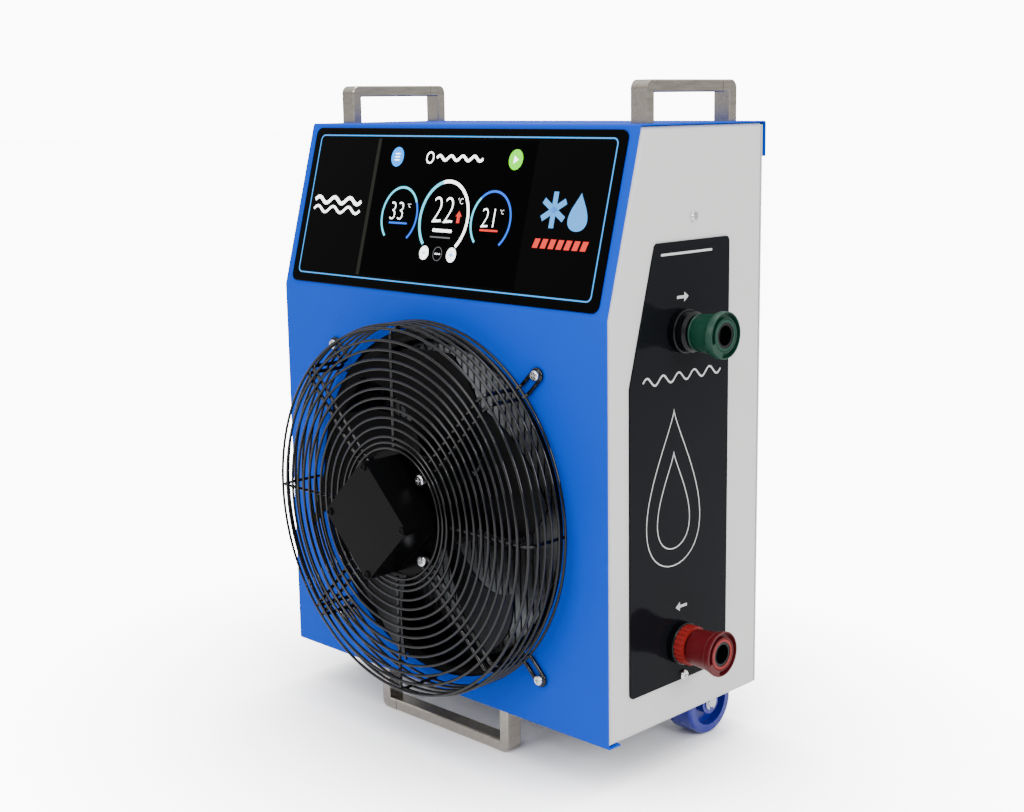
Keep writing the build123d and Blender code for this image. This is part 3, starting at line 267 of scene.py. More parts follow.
FINISHES = {
    "blue_powder_coat": (
        painted, (0.0, 0.06, 0.55), 0.45, dict(depth=0.035, dust=0.005, specular=0.06)
    ),
    "grey_powder_coat": (painted, (0.66, 0.66, 0.645), 0.42, dict(depth=0.04, drift=0.012)),
    "inlay_gloss": (
        painted, (0.005, 0.0055, 0.007), 0.1, dict(grain=500.0, depth=0.01, specular=0.06)
    ),
    "display_glass": (
        painted, (0.0006, 0.0006, 0.0007), 0.1, dict(grain=300.0, depth=0.004, specular=0.04)
    ),
    "screen_black": (painted, (0.0002, 0.0002, 0.0003), 0.12, dict(depth=0.01, specular=0.02)),
    "wire_enamel": (
        painted, (0.0006, 0.0006, 0.0008), 0.1, dict(grain=350.0, depth=0.04, specular=0.45)
    ),
    "motor_enamel": (
        painted, (0.0006, 0.0006, 0.0007), 0.26, dict(grain=500.0, depth=0.08, specular=0.07)
    ),
    "blade_black": (
        painted, (0.0008, 0.0008, 0.001), 0.34, dict(depth=0.08, dust=0.01, specular=0.1)
    ),
    "box_plastic": (
        painted, (0.0018, 0.0018, 0.002), 0.3, dict(grain=1400.0, depth=0.08, specular=0.07)
    ),
    "bar_steel": (brushed, (0.46, 0.42, 0.36), 0.24, dict(streak=(300, 40, 300), depth=0.1)),
    "screw_steel": (brushed, (0.82, 0.82, 0.83), 0.16, dict(streak=(300, 300, 300), depth=0.05)),
    "sheet_steel": (brushed, (0.5, 0.51, 0.52), 0.42, dict(streak=(30, 60, 90), depth=0.04)),
    "axle_steel": (brushed, (0.7, 0.71, 0.75), 0.25, dict(streak=(900, 60, 60), depth=0.08)),
    "coil_fins": (brushed, (0.3, 0.31, 0.32), 0.45, dict(streak=(700, 20, 20), depth=0.5)),
    "plate_steel": (brushed, (0.62, 0.62, 0.63), 0.3, dict(streak=(60, 60, 700), depth=0.1)),
    "copper_tube": (brushed, (0.72, 0.35, 0.2), 0.28, dict(streak=(200, 200, 200), depth=0.04)),
    "wheel_blue": (painted, (0.001, 0.006, 0.22), 0.25, dict(coat=0.3, grain=400.0, depth=0.05)),
    "coupling_green": (
        painted, (0.001, 0.033, 0.018), 0.4, dict(grain=800.0, depth=0.2, specular=0.35)
    ),
    "coupling_green_light": (
        painted, (0.0015, 0.04, 0.022), 0.45, dict(grain=800.0, depth=0.2, specular=0.3)
    ),
    "coupling_red": (
        painted, (0.085, 0.002, 0.004), 0.42, dict(grain=800.0, depth=0.2, specular=0.35)
    ),
    "collar_red": (painted, (0.24, 0.01, 0.008), 0.5, dict(grain=1500.0, depth=0.6, specular=0.35)),
    "coupling_black": (painted, (0.0008, 0.0012, 0.0018), 0.3, dict(depth=0.12, specular=0.25)),
    "valve_dark": (painted, (0.001, 0.0015, 0.0015), 0.4, dict(depth=0.1, specular=0.3)),
    "hose_rubber": (painted, (0.02, 0.02, 0.02), 0.6, dict(grain=1600.0, depth=0.4)),
    "foot_rubber": (painted, (0.015, 0.015, 0.015), 0.7, dict(grain=1800.0, depth=0.5)),
    "box_grey": (painted, (0.4, 0.41, 0.42), 0.45, dict(grain=1200.0, depth=0.1)),
    "switch_red": (painted, (0.5, 0.012, 0.01), 0.3, dict(coat=0.3)),
    "print_grey": (painted, (0.6, 0.6, 0.6), 0.5, dict(depth=0.02)),
    "lit_white": (lit, (0.93, 0.95, 0.96), 2.6),
    "lit_cyan": (lit, (0.06, 0.55, 0.72), 1.0),
    "lit_blue": (lit, (0.0, 0.09, 0.6), 0.9),
    "lit_button_blue": (lit, (0.0, 0.25, 0.85), 1.0),
    "lit_green": (lit, (0.12, 0.72, 0.0), 1.0),
    "lit_red": (lit, (0.6, 0.02, 0.01), 0.9),
    "screen_edge": (painted, (0.012, 0.012, 0.009), 0.3, dict(specular=0.1)),
    "lit_dim": (lit, (0.1, 0.1, 0.11), 0.35),
    "lit_sky": (lit, (0.05, 0.26, 0.62), 0.8),
    "lit_line": (lit, (0.03, 0.24, 0.62), 0.8),
}

NODE_FINISH = {
    "outer_wrap": "blue_powder_coat",
    "side_panel_left": "grey_powder_coat",
    "side_panel_right": "grey_powder_coat",
    "rear_panel": "grey_powder_coat",
    "side_inlay": "inlay_gloss",
    "display_glass": "display_glass",
    "display_module": "box_plastic",
    "base_tray": "sheet_steel",
    "upper_shelf": "sheet_steel",
    "coil_duct": "sheet_steel",
    "fan_shroud": "motor_enamel",
    "fan_motor": "motor_enamel",
    "fan_rotor": "blade_black",
    "terminal_box": "box_plastic",
    "terminal_lid": "box_plastic",
    "condenser_coil": "coil_fins",
    "compressor": "motor_enamel",
    "compressor_feet": "foot_rubber",
    "evaporator": "plate_steel",
    "water_pump": "box_plastic",
    "control_box": "box_grey",
    "mains_inlet": "box_plastic",
    "power_switch": "switch_red",
    "wheel_left": "wheel_blue",
    "wheel_right": "wheel_blue",
    "wheel_axle": "axle_steel",
    "axle_clips": "axle_steel",
    "axle_bracket_left": "sheet_steel",
    "axle_bracket_right": "sheet_steel",
    "coupling_green_body": "coupling_black",
    "coupling_red_body": "coupling_black",
    "coupling_green_sleeve": "coupling_green",
    "coupling_red_sleeve": "coupling_red",
    "coupling_green_valve": "valve_dark",
    "coupling_red_valve": "valve_dark",
    "coupling_red_collar": "collar_red",
    "coupling_locknuts": "coupling_black",
    "fan_guard": "wire_enamel",
}
for part_name in NODES:
    if part_name.startswith(("handle_", "foot_")):
        NODE_FINISH.setdefault(part_name, "bar_steel")
    if part_name.endswith("_screws"):
        NODE_FINISH[part_name] = "screw_steel"
    if part_name.startswith("hose_"):
        NODE_FINISH[part_name] = "hose_rubber"
    if part_name.endswith("_pipe") or part_name in ("capillary", "filter_drier"):
        NODE_FINISH[part_name] = "copper_tube"
NODE_FINISH["lid_screws"] = "box_plastic"


# Mesh helpers
def piece(name, verts, faces, finish, body):
    """A mesh object of the given points and faces, riding on a body."""
    mesh = bpy.data.meshes.new(name)
    mesh.from_pydata([tuple(v) for v in verts], [], faces)
    mesh.validate()
    mesh.update()
    return settle(name, mesh, finish, body)


def settle(name, mesh, finish, body, smooth=False):
    """Put a finished mesh into the scene, give it its finish and let it ride."""
    obj = bpy.data.objects.new(name, mesh)
    bpy.context.scene.collection.objects.link(obj)
    mesh.materials.clear()
    mesh.materials.append(material(finish))
    for polygon in mesh.polygons:
        polygon.use_smooth = smooth
        polygon.material_index = 0
    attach(obj, body)
    return obj


def bake_nodes(name, source, tree, values):
    """Run a geometry tree on a mesh and return its result as a plain mesh."""
    obj = bpy.data.objects.new(name + "_maker", source)
    bpy.context.scene.collection.objects.link(obj)
    modifier = obj.modifiers.new("Maker", "NODES")
    modifier.node_group = tree
    for item in tree.interface.items_tree:
        if item.item_type == "SOCKET" and item.in_out == "INPUT" and item.name in values:
            modifier[item.identifier] = values[item.name]
    bpy.context.view_layer.update()
    depsgraph = bpy.context.evaluated_depsgraph_get()
    mesh = bpy.data.meshes.new_from_object(obj.evaluated_get(depsgraph), depsgraph=depsgraph)
    mesh.name = name
    obj.modifiers.remove(modifier)
    bpy.data.objects.remove(obj)
    return mesh


WIRE_INPUTS = (
    ("Geometry", "Geometry", None),
    ("Wire Radius", "Float", 0.0015),
    ("Material", "Material", None),
)
GEOMETRY_OUTPUT = (("Geometry", "Geometry"),)


def wires(tree, into, out, curves):
    """Close a tree: give the curves a round section, then realize, smooth and set the material."""
    real = node(tree, "GeometryNodeRealizeInstances", {0: curves}).outputs[0]
    circle = {"Resolution": into["Sides"], "Radius": into["Wire Radius"]}
    section = node(tree, "GeometryNodeCurvePrimitiveCircle", circle).outputs["Curve"]
    sweep = {"Curve": real, "Profile Curve": section, "Fill Caps": True}
    tube = node(tree, "GeometryNodeCurveToMesh", sweep).outputs[0]
    whole = node(tree, "GeometryNodeRealizeInstances", {0: tube}).outputs[0]
    smooth = node(tree, "GeometryNodeSetShadeSmooth", {0: whole}).outputs[0]
    dress = {"Geometry": smooth, "Material": into["Material"]}
    paint = node(tree, "GeometryNodeSetMaterial", dress)
    tree.links.new(paint.outputs[0], out["Geometry"])
    return tree


def rings_tree():
    """Round wire rings about a line: one for each point, as large as the point's ring_radius."""
    inputs = (*WIRE_INPUTS, ("Segments", "Int", 128), ("Sides", "Int", 10))
    tree, into, out = new_tree("Wire rings", "GeometryNodeTree", inputs, GEOMETRY_OUTPUT)
    circle = {"Radius": 1.0, "Resolution": into["Segments"]}
    ring = node(tree, "GeometryNodeCurvePrimitiveCircle", circle).outputs["Curve"]
    named = {"Name": "ring_radius"}
    size = node(tree, "GeometryNodeInputNamedAttribute", named, data_type="FLOAT")
    place = {
        "Points": into["Geometry"],
        "Instance": ring,
        "Rotation": (pi / 2, 0, 0),
        "Scale": size.outputs["Attribute"],
    }
    rings = node(tree, "GeometryNodeInstanceOnPoints", place).outputs[0]
    return wires(tree, into, out, rings)


def turned_tree():
    """A bent wire repeated by turning it about the fan's axis."""
    turning = (("Copies", "Int", 4), ("Axis Height", "Float", 0.27), ("Sides", "Int", 12))
    inputs = WIRE_INPUTS + turning
    tree, into, out = new_tree("Turned wires", "GeometryNodeTree", inputs, GEOMETRY_OUTPUT)
    curve = node(tree, "GeometryNodeMeshToCurve", {0: into["Geometry"]}).outputs[0]
    centre = node(tree, "ShaderNodeCombineXYZ", {"Z": into["Axis Height"]}).outputs[0]
    line = {"Count": into["Copies"], "Start Location": centre, "Offset": (0, 0, 0)}
    spots = node(tree, "GeometryNodeMeshLine", line).outputs["Mesh"]
    index = node(tree, "GeometryNodeInputIndex").outputs[0]
    turn = maths(tree, "MULTIPLY", maths(tree, "DIVIDE", index, into["Copies"]), 2 * pi)
    rotation = node(tree, "ShaderNodeCombineXYZ", {"Y": turn}).outputs[0]
    place = {"Points": spots, "Instance": curve, "Rotation": rotation}
    return wires(tree, into, out, node(tree, "GeometryNodeInstanceOnPoints", place).outputs[0])


def path_mesh(name, points, closed):
    """A mesh of edges through the points."""
    mesh = bpy.data.meshes.new(name)
    edges = [(i, i + 1) for i in range(len(points) - 1)]
    if closed:
        edges.append((len(points) - 1, 0))
    mesh.from_pydata([tuple(p) for p in points], edges, [])
    return mesh


def bend_points(corner_in, corner, corner_out, radius, steps=7):
    """Points of an arc that rounds a square corner between two directions."""
    a = (corner_in - corner).normalized()
    b = (corner_out - corner).normalized()
    centre = corner + (a + b) * radius
    return [
        centre - b * radius * cos(pi / 2 * i / steps) - a * radius * sin(pi / 2 * i / steps)
        for i in range(steps + 1)
    ]


# Sizes of the guard that its settings don't hold, in metres
INNER_RINGS = (0.0733, 0.0796)
FIRST_RING = 0.086
SIDE_RING_HEIGHTS = (0.0155, 0.026, 0.0365, 0.047, 0.0059)
WELD_DEPTH = 0.0003
RIM_BEND = 0.009
LOOP_HALF = 0.0063
INNER_LOOP = 0.063
EAR_LOOP = 0.234
EAR_HEIGHT = 0.0023
DOUBLED_BEND = 0.0068
FOOT_BEND = 0.0092
SINGLE_BEND = 0.0072
SINGLE_START = 0.0717
SINGLE_END = 0.0036
SINGLE_RISE = 0.0005
LOOP_STEPS = 12
# Far ends of straight runs, which only give a bend its direction
RUN_IN = 0.1
RUN_UP = 0.05


class GuardSettings(bpy.types.PropertyGroup):
    """Sizes of the wire guard."""

    ring_wire: FloatProperty(
        name="Ring wire", description="Radius of the ring wire", default=0.0016, unit="LENGTH"
    )
    doubled_wire: FloatProperty(
        name="Doubled wire",
        description="Radius of the doubled wires",
        default=0.00225,
        unit="LENGTH",
    )
    single_wire: FloatProperty(
        name="Single wire", description="Radius of the single wires", default=0.00175, unit="LENGTH"
    )
    front: FloatProperty(
        name="Front",
        description="Height of the front wires over the panel",
        default=0.057,
        unit="LENGTH",
    )
    side: FloatProperty(
        name="Side", description="Radius of the side wires", default=0.204, unit="LENGTH"
    )
    pitch: FloatProperty(
        name="Ring pitch", description="Step between front rings", default=0.0106, unit="LENGTH"
    )
    rings: IntProperty(
        name="Front rings", description="Number of evenly spaced front rings", default=11
    )


class CHILLER_OT_guard(bpy.types.Operator):
    """Round wires of the fan guard: rings laid over doubled and single bent wires"""

    bl_idname = "chiller.guard"
    bl_label = "Fan guard"

    def execute(self, context):
        sizes = context.scene.chiller_guard
        reach_out = sizes.doubled_wire + sizes.ring_wire - WELD_DEPTH
        over = sizes.front + reach_out
        outside = sizes.side + reach_out
        rings = [(radius, over) for radius in INNER_RINGS]
        rings += [(FIRST_RING + number * sizes.pitch, over) for number in range(sizes.rings)]
        bend_reach = (RIM_BEND + sizes.ring_wire - WELD_DEPTH) * sin(pi / 4)
        bend_centre = sizes.doubled_wire - RIM_BEND + bend_reach
        rings.append((sizes.side + bend_centre, sizes.front + bend_centre))
        rings += [(outside, height) for height in SIDE_RING_HEIGHTS]
        mesh = bpy.data.meshes.new("ring_points")
        mesh.from_pydata([(0, FRONT_Y - height, FAN_Z) for _, height in rings], [], [])
        attribute = mesh.attributes.new("ring_radius", "FLOAT", "POINT")
        for item, (radius, _) in zip(attribute.data, rings):
            item.value = radius
        paint = material("wire_enamel")
        values = {"Wire Radius": sizes.ring_wire, "Material": paint}
        result = bake_nodes("guard_rings", mesh, rings_tree(), values)
        obj = settle("guard_rings", result, "wire_enamel", "casing", True)
        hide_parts("fan_guard")
        turned = turned_tree()
        for name, points, closed, wire in (
            ("guard_doubled_wires", self.doubled(sizes), True, sizes.doubled_wire),
            ("guard_single_wires", self.single(sizes), False, sizes.single_wire),
        ):
            path = path_mesh(name + "_path", points, closed)
            values = {"Wire Radius": wire, "Copies": 4, "Axis Height": FAN_Z, "Material": paint}
            result = bake_nodes(name, path, turned, values)
            obj = settle(name, result, "wire_enamel", "casing", True)
            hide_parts("fan_guard")
        return {"FINISHED"}

    def doubled(self, sizes):
        """One wire bent into two strands with a loop round each of its two screws."""
        radial = Vector((cos(pi / 4), 0, sin(pi / 4)))
        sideways = Vector((-sin(pi / 4), 0, cos(pi / 4)))
        front, side, ear = sizes.front, sizes.side, EAR_HEIGHT

        def at(r, height, across):
            return Vector((0, FRONT_Y - height, 0)) + radial * r + sideways * across

        def loop(middle, height, start):
            turns = [start + pi * i / LOOP_STEPS for i in range(LOOP_STEPS + 1)]
            return [at(middle + LOOP_HALF * cos(a), height, LOOP_HALF * sin(a)) for a in turns]

        low, high = -LOOP_HALF, LOOP_HALF
        points = loop(INNER_LOOP, front, pi / 2)
        bends = (
            (at(RUN_IN, front, low), at(side, front, low), at(side, 0, low), DOUBLED_BEND),
            (at(side, RUN_UP, low), at(side, ear, low), at(EAR_LOOP, ear, low), FOOT_BEND),
            (at(EAR_LOOP, ear, high), at(side, ear, high), at(side, RUN_UP, high), FOOT_BEND),
            (at(side, 0, high), at(side, front, high), at(RUN_IN, front, high), DOUBLED_BEND),
        )
        rim, foot, far_foot, far_rim = (bend_points(*bend) for bend in bends)
        points += rim + foot + loop(EAR_LOOP, ear, -pi / 2) + far_foot + far_rim
        return points

    def single(self, sizes):
        """A single wire from the innermost ring over the rim to the base ring."""
        height = sizes.front + SINGLE_RISE
        side = sizes.side + SINGLE_RISE

        def at(r, up):
            return Vector((r, FRONT_Y - up, 0))

        points = [at(SINGLE_START, height)]
        points += bend_points(at(RUN_IN, height), at(side, height), at(side, 0), SINGLE_BEND)
        points.append(at(side, SINGLE_END))
        return points


# Marks on the display and the inlay, drawn in millimetres
GLASS_OUT = 2.0
MARK_THICK = 0.12
PRINT_THICK = 0.08
TALL = 1.08


def slope_point(x, s, out):
    """A point on the sloped face: x across, s up from the fold and out from the sheet, in mm."""
    return Vector((x * MM, FRONT_Y, FOLD_Z)) + SLOPE_UP * (s * MM) + SLOPE_OUT * (out * MM)


def inlay_point(y, z, out):
    """A point on the side inlay, y back and z up in mm, out from its face."""
    return Vector((INLAY_HIGH.x + out * MM, y * MM, z * MM))


def flat_mark(name, shapes, finish, body, slot, place, out, thick=MARK_THICK):
    """Thin plates of the given closed outlines, laid on a face by the place function."""
    verts, faces = [], []
    for outline in shapes:
        count = len(outline)
        pairs = zip(outline, [*outline[1:], outline[0]])
        area = sum(here[0] * there[1] - there[0] * here[1] for here, there in pairs)
        ring = list(outline) if area > 0 else list(reversed(outline))
        start = len(verts)
        verts += [place(x, s, out) for x, s in ring]
        verts += [place(x, s, out + thick) for x, s in ring]
        faces.append([start + count + i for i in range(count)])
        faces.append([start + i for i in reversed(range(count))])
        for i in range(count):
            j = (i + 1) % count
            faces.append([start + i, start + j, start + count + j, start + count + i])
    return piece(name, verts, faces, finish, body)


def strip(points, width, closed=False):
    """Outlines of a band of even width along a line of points, one quad for each step."""
    count = len(points)
    sides = []
    for i in range(count):
        before = points[i - 1] if i or closed else points[i]
        after = points[(i + 1) % count] if i < count - 1 or closed else points[i]
        here = Vector(points[i])
        first = (here - Vector(before)).normalized() if here != Vector(before) else None
        second = (Vector(after) - here).normalized() if here != Vector(after) else None
        first = first or second
        second = second or first
        along = (first + second).normalized()
        normal = Vector((-along.y, along.x))
        stretch = width / 2 / max(0.3, along.dot(first))
        sides.append((here + normal * stretch, here - normal * stretch))
    steps = count if closed else count - 1
    shapes = []
    for i in range(steps):
        a, b = sides[i], sides[(i + 1) % count]
        shapes.append([tuple(a[0]), tuple(a[1]), tuple(b[1]), tuple(b[0])])
    return shapes


def arc(cx, cy, rx, start, end, tall=1.0, steps=40):
    """Points of an arc in degrees, taller than wide by the given factor."""
    return [
        (
            cx + rx * cos(radians(start + (end - start) * i / steps)),
            cy + rx * tall * sin(radians(start + (end - start) * i / steps)),
        )
        for i in range(steps + 1)
    ]


def disc(cx, cy, r, tall=1.0, steps=40):
    """A closed round outline."""
    return arc(cx, cy, r, 0, 360 - 360 / steps, tall, steps - 1)


def bar(x0, x1, y, height):
    """A bar with round ends."""
    r = height / 2
    return arc(x1 - r, y, r, -90, 90, 1, 10) + arc(x0 + r, y, r, 90, 270, 1, 10)


def rounded(x0, x1, y0, y1, r):
    """A closed outline of a rectangle with round corners."""
    return (
        arc(x1 - r, y1 - r, r, 0, 90, 1, 6)
        + arc(x0 + r, y1 - r, r, 90, 180, 1, 6)
        + arc(x0 + r, y0 + r, r, 180, 270, 1, 6)
        + arc(x1 - r, y0 + r, r, 270, 360, 1, 6)
    )


def wave(x0, x1, y, swing, turns, steps=48):
    """Points of a wavy line."""
    return [
        (x0 + (x1 - x0) * i / steps, y + swing * sin(2 * pi * turns * i / steps))
        for i in range(steps + 1)
    ]


def drop(cx, cy, width, height, steps=48):
    """Points of a water drop outline with its tip up."""
    points = []
    for i in range(steps):
        t = 2 * pi * i / steps
        points.append((cx + width / 2 * sin(t) * sin(t / 2) ** 1.5, cy + height / 2 * cos(t)))
    return points


def number(name, text, x, s, height, finish, squeeze=0.92):
    """Numerals on the display, set on their lower left corner."""
    curve = bpy.data.curves.new(name, "FONT")
    curve.body = text
    curve.size = 1.0
    curve.offset = -0.02
    curve.resolution_u = 6
    maker = bpy.data.objects.new(name + "_maker", curve)
    bpy.context.scene.collection.objects.link(maker)
    bpy.context.view_layer.update()
    depsgraph = bpy.context.evaluated_depsgraph_get()
    mesh = bpy.data.meshes.new_from_object(maker.evaluated_get(depsgraph), depsgraph=depsgraph)
    bpy.data.objects.remove(maker)
    low_x = min(v.co.x for v in mesh.vertices)
    low_y = min(v.co.y for v in mesh.vertices)
    tall = max(v.co.y for v in mesh.vertices) - low_y
    scale = height / tall
    for v in mesh.vertices:
        v.co = slope_point(
            x + (v.co.x - low_x) * scale * squeeze,
            s + (v.co.y - low_y) * scale,
            GLASS_OUT + MARK_THICK,
        )
    mesh.update()
    work = bmesh.new()
    work.from_mesh(mesh)
    for face in work.faces:
        face.normal_update()
        if face.normal.dot(SLOPE_OUT) < 0:
            face.normal_flip()
    solid = bmesh.ops.extrude_face_region(work, geom=list(work.faces))
    moved = [g for g in solid["geom"] if isinstance(g, bmesh.types.BMVert)]
    bmesh.ops.translate(work, verts=moved, vec=-SLOPE_OUT * (MARK_THICK * MM))
    bmesh.ops.recalc_face_normals(work, faces=list(work.faces))
    work.to_mesh(mesh)
    work.free()
    mesh.name = name
    return settle(name, mesh, finish, "casing")


class CHILLER_OT_display(bpy.types.Operator):
    """Lit gauges, numerals, buttons and the frame line on the display glass"""

    bl_idname = "chiller.display"
    bl_label = "Display"

    def mark(self, name, shapes, finish, out=0.0):
        """A lit mark on the glass."""
        height = GLASS_OUT + out
        return flat_mark(name, shapes, finish, "casing", "glass_black", slope_point, height)

    def execute(self, context):
        line = rounded(-236.5, 236.5, 16.5, 182.3, 6)
        self.mark("display_line", strip(line, 1.5, True), "lit_line")
        panel = [(-124.0, 20.0), (127.0, 20.0), (127.0, 179.0), (-124.0, 179.0)]
        self.mark("display_screen", [panel], "screen_black", -0.1)
        edge = [(-130.5, 20.0), (-125.0, 20.0), (-125.0, 179.0), (-130.5, 179.0)]
        self.mark("display_screen_edge", [edge], "screen_edge", -0.11)
        for name, cx, r, width, splits in (
            ("left", -72.3, 29.6, 2.6, ((229, 30, "lit_cyan"), (30, -52, "lit_blue"))),
            ("centre", 1.7, 38.2, 3.7, ((226, 104, "lit_cyan"), (104, -47, "lit_white"))),
            ("right", 75.5, 29.6, 2.6, ((229, 131, "lit_cyan"), (131, -52, "lit_blue"))),
        ):
            cy = 91.5 if name != "centre" else 91.0
            for start, end, finish in splits:
                band = strip(arc(cx, cy, r, start, end, TALL), width)
                self.mark(f"gauge_{name}_{finish}", band, finish)
        number("value_left", "33", -88.3, 86.5, 20.0, "lit_white", 0.86)
        number("value_centre", "22", -16.7, 86.2, 28.6, "lit_white", 0.86)
        number("value_right", "21", 61.7, 84.3, 20.6, "lit_white", 0.86)
        for name, x, s, size in (
            ("left", -60.8, 101.0, 4.2),
            ("centre", 20.2, 108.0, 6.4),
            ("right", 87.6, 99.5, 4.6),
        ):
            number(f"degree_{name}", "°C", x, s, size, "lit_white")
        arrow = [
            (25.2, 100.3), (20.4, 94.2), (22.9, 94.2), (22.9, 86.8),
            (27.6, 86.8), (27.6, 94.2), (30.1, 94.2),
        ]
        self.mark("trend_arrow", [arrow], "lit_red")
        self.mark("caption_left", [bar(-88, -57, 82.6, 2.2)], "lit_blue")
        self.mark("caption_right", [bar(61, 89, 81.0, 2.2)], "lit_red")
        self.mark("caption_centre", [bar(-13, 18.5, 77.4, 3.4)], "lit_white")
        self.mark("caption_state", [bar(-15, 17.5, 69.8, 1.6)], "lit_dim")
        self.mark("menu_disc", [disc(-92.5, 158.2, 10.5, TALL)], "lit_button_blue")
        lines = [bar(-96.5, -88.5, 158.2 + step, 1.3) for step in (-3.6, 0, 3.6)]
        self.mark("menu_lines", lines, "lit_white", MARK_THICK)
        self.mark("start_disc", [disc(97.8, 158.2, 10.3, TALL)], "lit_green")
        self.mark("start_sign", [[(95, 153.8), (102, 158.2), (95, 162.6)]], "lit_white", MARK_THICK)
        self.mark("minus_disc", [disc(-20.3, 51.5, 7.2, TALL)], "lit_white")
        self.mark("minus_sign", [bar(-22.9, -17.7, 51.5, 1.3)], "lit_button_blue", MARK_THICK)
        self.mark("plus_disc", [disc(23.8, 51.5, 7.5, TALL)], "lit_white")
        plus = [
            (23.1, 48.2), (24.5, 48.2), (24.5, 50.8), (27.0, 50.8), (27.0, 52.2), (24.5, 52.2),
            (24.5, 54.8), (23.1, 54.8), (23.1, 52.2), (20.6, 52.2), (20.6, 50.8), (23.1, 50.8),
        ]
        self.mark("plus_sign", [plus], "lit_button_blue", MARK_THICK)
        self.mark("set_ring", strip(disc(1.7, 51.5, 7.0, TALL), 0.7, True), "lit_dim")
        self.mark("set_dots", [disc(x, 51.5, 0.9, 1, 14) for x in (-1.6, 1.7, 5.0)], "lit_white")
        self.mark("header_ring", strip(disc(-37, 158.2, 5.6, TALL, 28), 1.8, True), "lit_white")
        self.mark("header_wave", strip(wave(-26, 48, 158.2, 2.6, 4), 3.2), "lit_white")
        self.mark("left_wave", strip(wave(-228, -143, 104.5, 3.6, 3), 4.2), "lit_white")
        self.mark("left_wave_low", strip(wave(-228, -143, 93.5, 3.6, 3), 3.0), "lit_white")
        arms = []
        for turn in range(3):
            a = radians(90 + 60 * turn)
            c, s = cos(a), sin(a)
            arms += strip([(165 - 18 * c, 107 - 19 * s), (165 + 18 * c, 107 + 19 * s)], 6.5)
        self.mark("cold_sign", arms, "lit_sky")
        self.mark("water_sign", [drop(200, 106, 38, 40)], "lit_sky")
        dashes = []
        for i in range(7):
            x = 143 + i * 11.2
            dashes.append([(x, 66.5), (x + 7.4, 66.5), (x + 10.6, 76.5), (x + 3.2, 76.5)])
        self.mark("red_dashes", dashes, "lit_red")
        return {"FINISHED"}


def lathe(name, profile, axis_y, axis_z, finish, body, slot, around=None, segments=96):
    """A ring turned about a line along X from (x, radius) in mm; around() may move a point."""
    work = bmesh.new()
    rows = []
    for i in range(segments):
        angle = 2 * pi * i / segments
        row = []
        for x, radius in profile:
            if around:
                x, radius = around(angle, x, radius)
            spot = (x * MM, axis_y + radius * MM * cos(angle), axis_z + radius * MM * sin(angle))
            row.append(work.verts.new(spot))
        rows.append(row)
    count = len(profile)
    for i in range(segments):
        here, there = rows[i], rows[(i + 1) % segments]
        for j in range(count):
            k = (j + 1) % count
            work.faces.new((here[j], here[k], there[k], there[j]))
    bmesh.ops.recalc_face_normals(work, faces=list(work.faces))
    mesh = bpy.data.meshes.new(name)
    work.to_mesh(mesh)
    work.free()
    obj = settle(name, mesh, finish, body, True)
    mesh.set_sharp_from_angle(angle=radians(32))
    return obj


# The groove in the front ring of each sleeve, in mm and degrees
GROOVE_IN, GROOVE_OUT, GROOVE_DEPTH = 18.2, 22.8, 5.0
GROOVE_FRONT = 318.0
BRIDGE_ANGLE, BRIDGE_HALF, BRIDGE_END = 228, 28, 5
SLEEVE_STEPS = 144
# Sections as (x, radius) in mm: the sleeves' front ring and backs, and the ring inside them
SLEEVE_FRONT = [
    (320.0, 24.1), (320.0, 22.9), (320.0, 22.7), (320.0, 18.3), (320.0, 18.1),
    (320.0, 17.2), (319.6, 16.85), (285.0, 16.85), (285.0, 18.9), (285.4, 19.4),
]
SLEEVE_BACKS = {
    "green": [
        (286.4, 19.5), (287.2, 19.0), (288.0, 19.5), (300.0, 20.6), (308.0, 21.6),
        (311.5, 22.6), (312.0, 24.0), (312.6, 24.5), (319.3, 24.5),
    ],
    "red": [
        (286.4, 19.6), (298.0, 20.3), (306.0, 21.2), (311.0, 22.3), (311.5, 21.9),
        (312.2, 22.0), (312.9, 23.0), (316.5, 24.2), (319.3, 24.5),
    ],
}
NOSE_RING = [
    (319.0, 13.4), (319.5, 13.4), (319.8, 13.8), (319.8, 16.0), (319.5, 16.4), (319.0, 16.4),
]


def groove_round(angle, x, radius):
    """Sink the front ring's groove, but leave a bridge at its lower left."""
    if GROOVE_IN < radius < GROOVE_OUT and x > GROOVE_FRONT:
        away = abs((angle - radians(BRIDGE_ANGLE) + pi) % (2 * pi) - pi)
        share = min(1.0, max(0.0, (away - radians(BRIDGE_HALF)) / radians(BRIDGE_END)))
        return x - GROOVE_DEPTH * share, radius
    return x, radius


class CHILLER_OT_couplings(bpy.types.Operator):
    """Release sleeves with their grooved front rings, and the coloured nose rings inside them"""

    bl_idname = "chiller.couplings"
    bl_label = "Couplings"

    def execute(self, context):
        for colour, paint in (("green", "coupling_green"), ("red", "coupling_red")):
            low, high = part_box(f"coupling_{colour}_sleeve")
            axis_y, axis_z = (low.y + high.y) / 2, (low.z + high.z) / 2
            body, slot = f"{colour}_sleeve", f"coupling_{colour}"
            profile = SLEEVE_FRONT + SLEEVE_BACKS[colour]
            name = f"{colour}_release_sleeve"
            ways = (groove_round, SLEEVE_STEPS)
            sleeve = lathe(name, profile, axis_y, axis_z, paint, body, slot, *ways)
            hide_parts(f"coupling_{colour}_sleeve")
            light = "coupling_green_light" if colour == "green" else "collar_red"
            lathe(f"{colour}_nose_ring", NOSE_RING, axis_y, axis_z, light, "casing", slot)
        return {"FINISHED"}


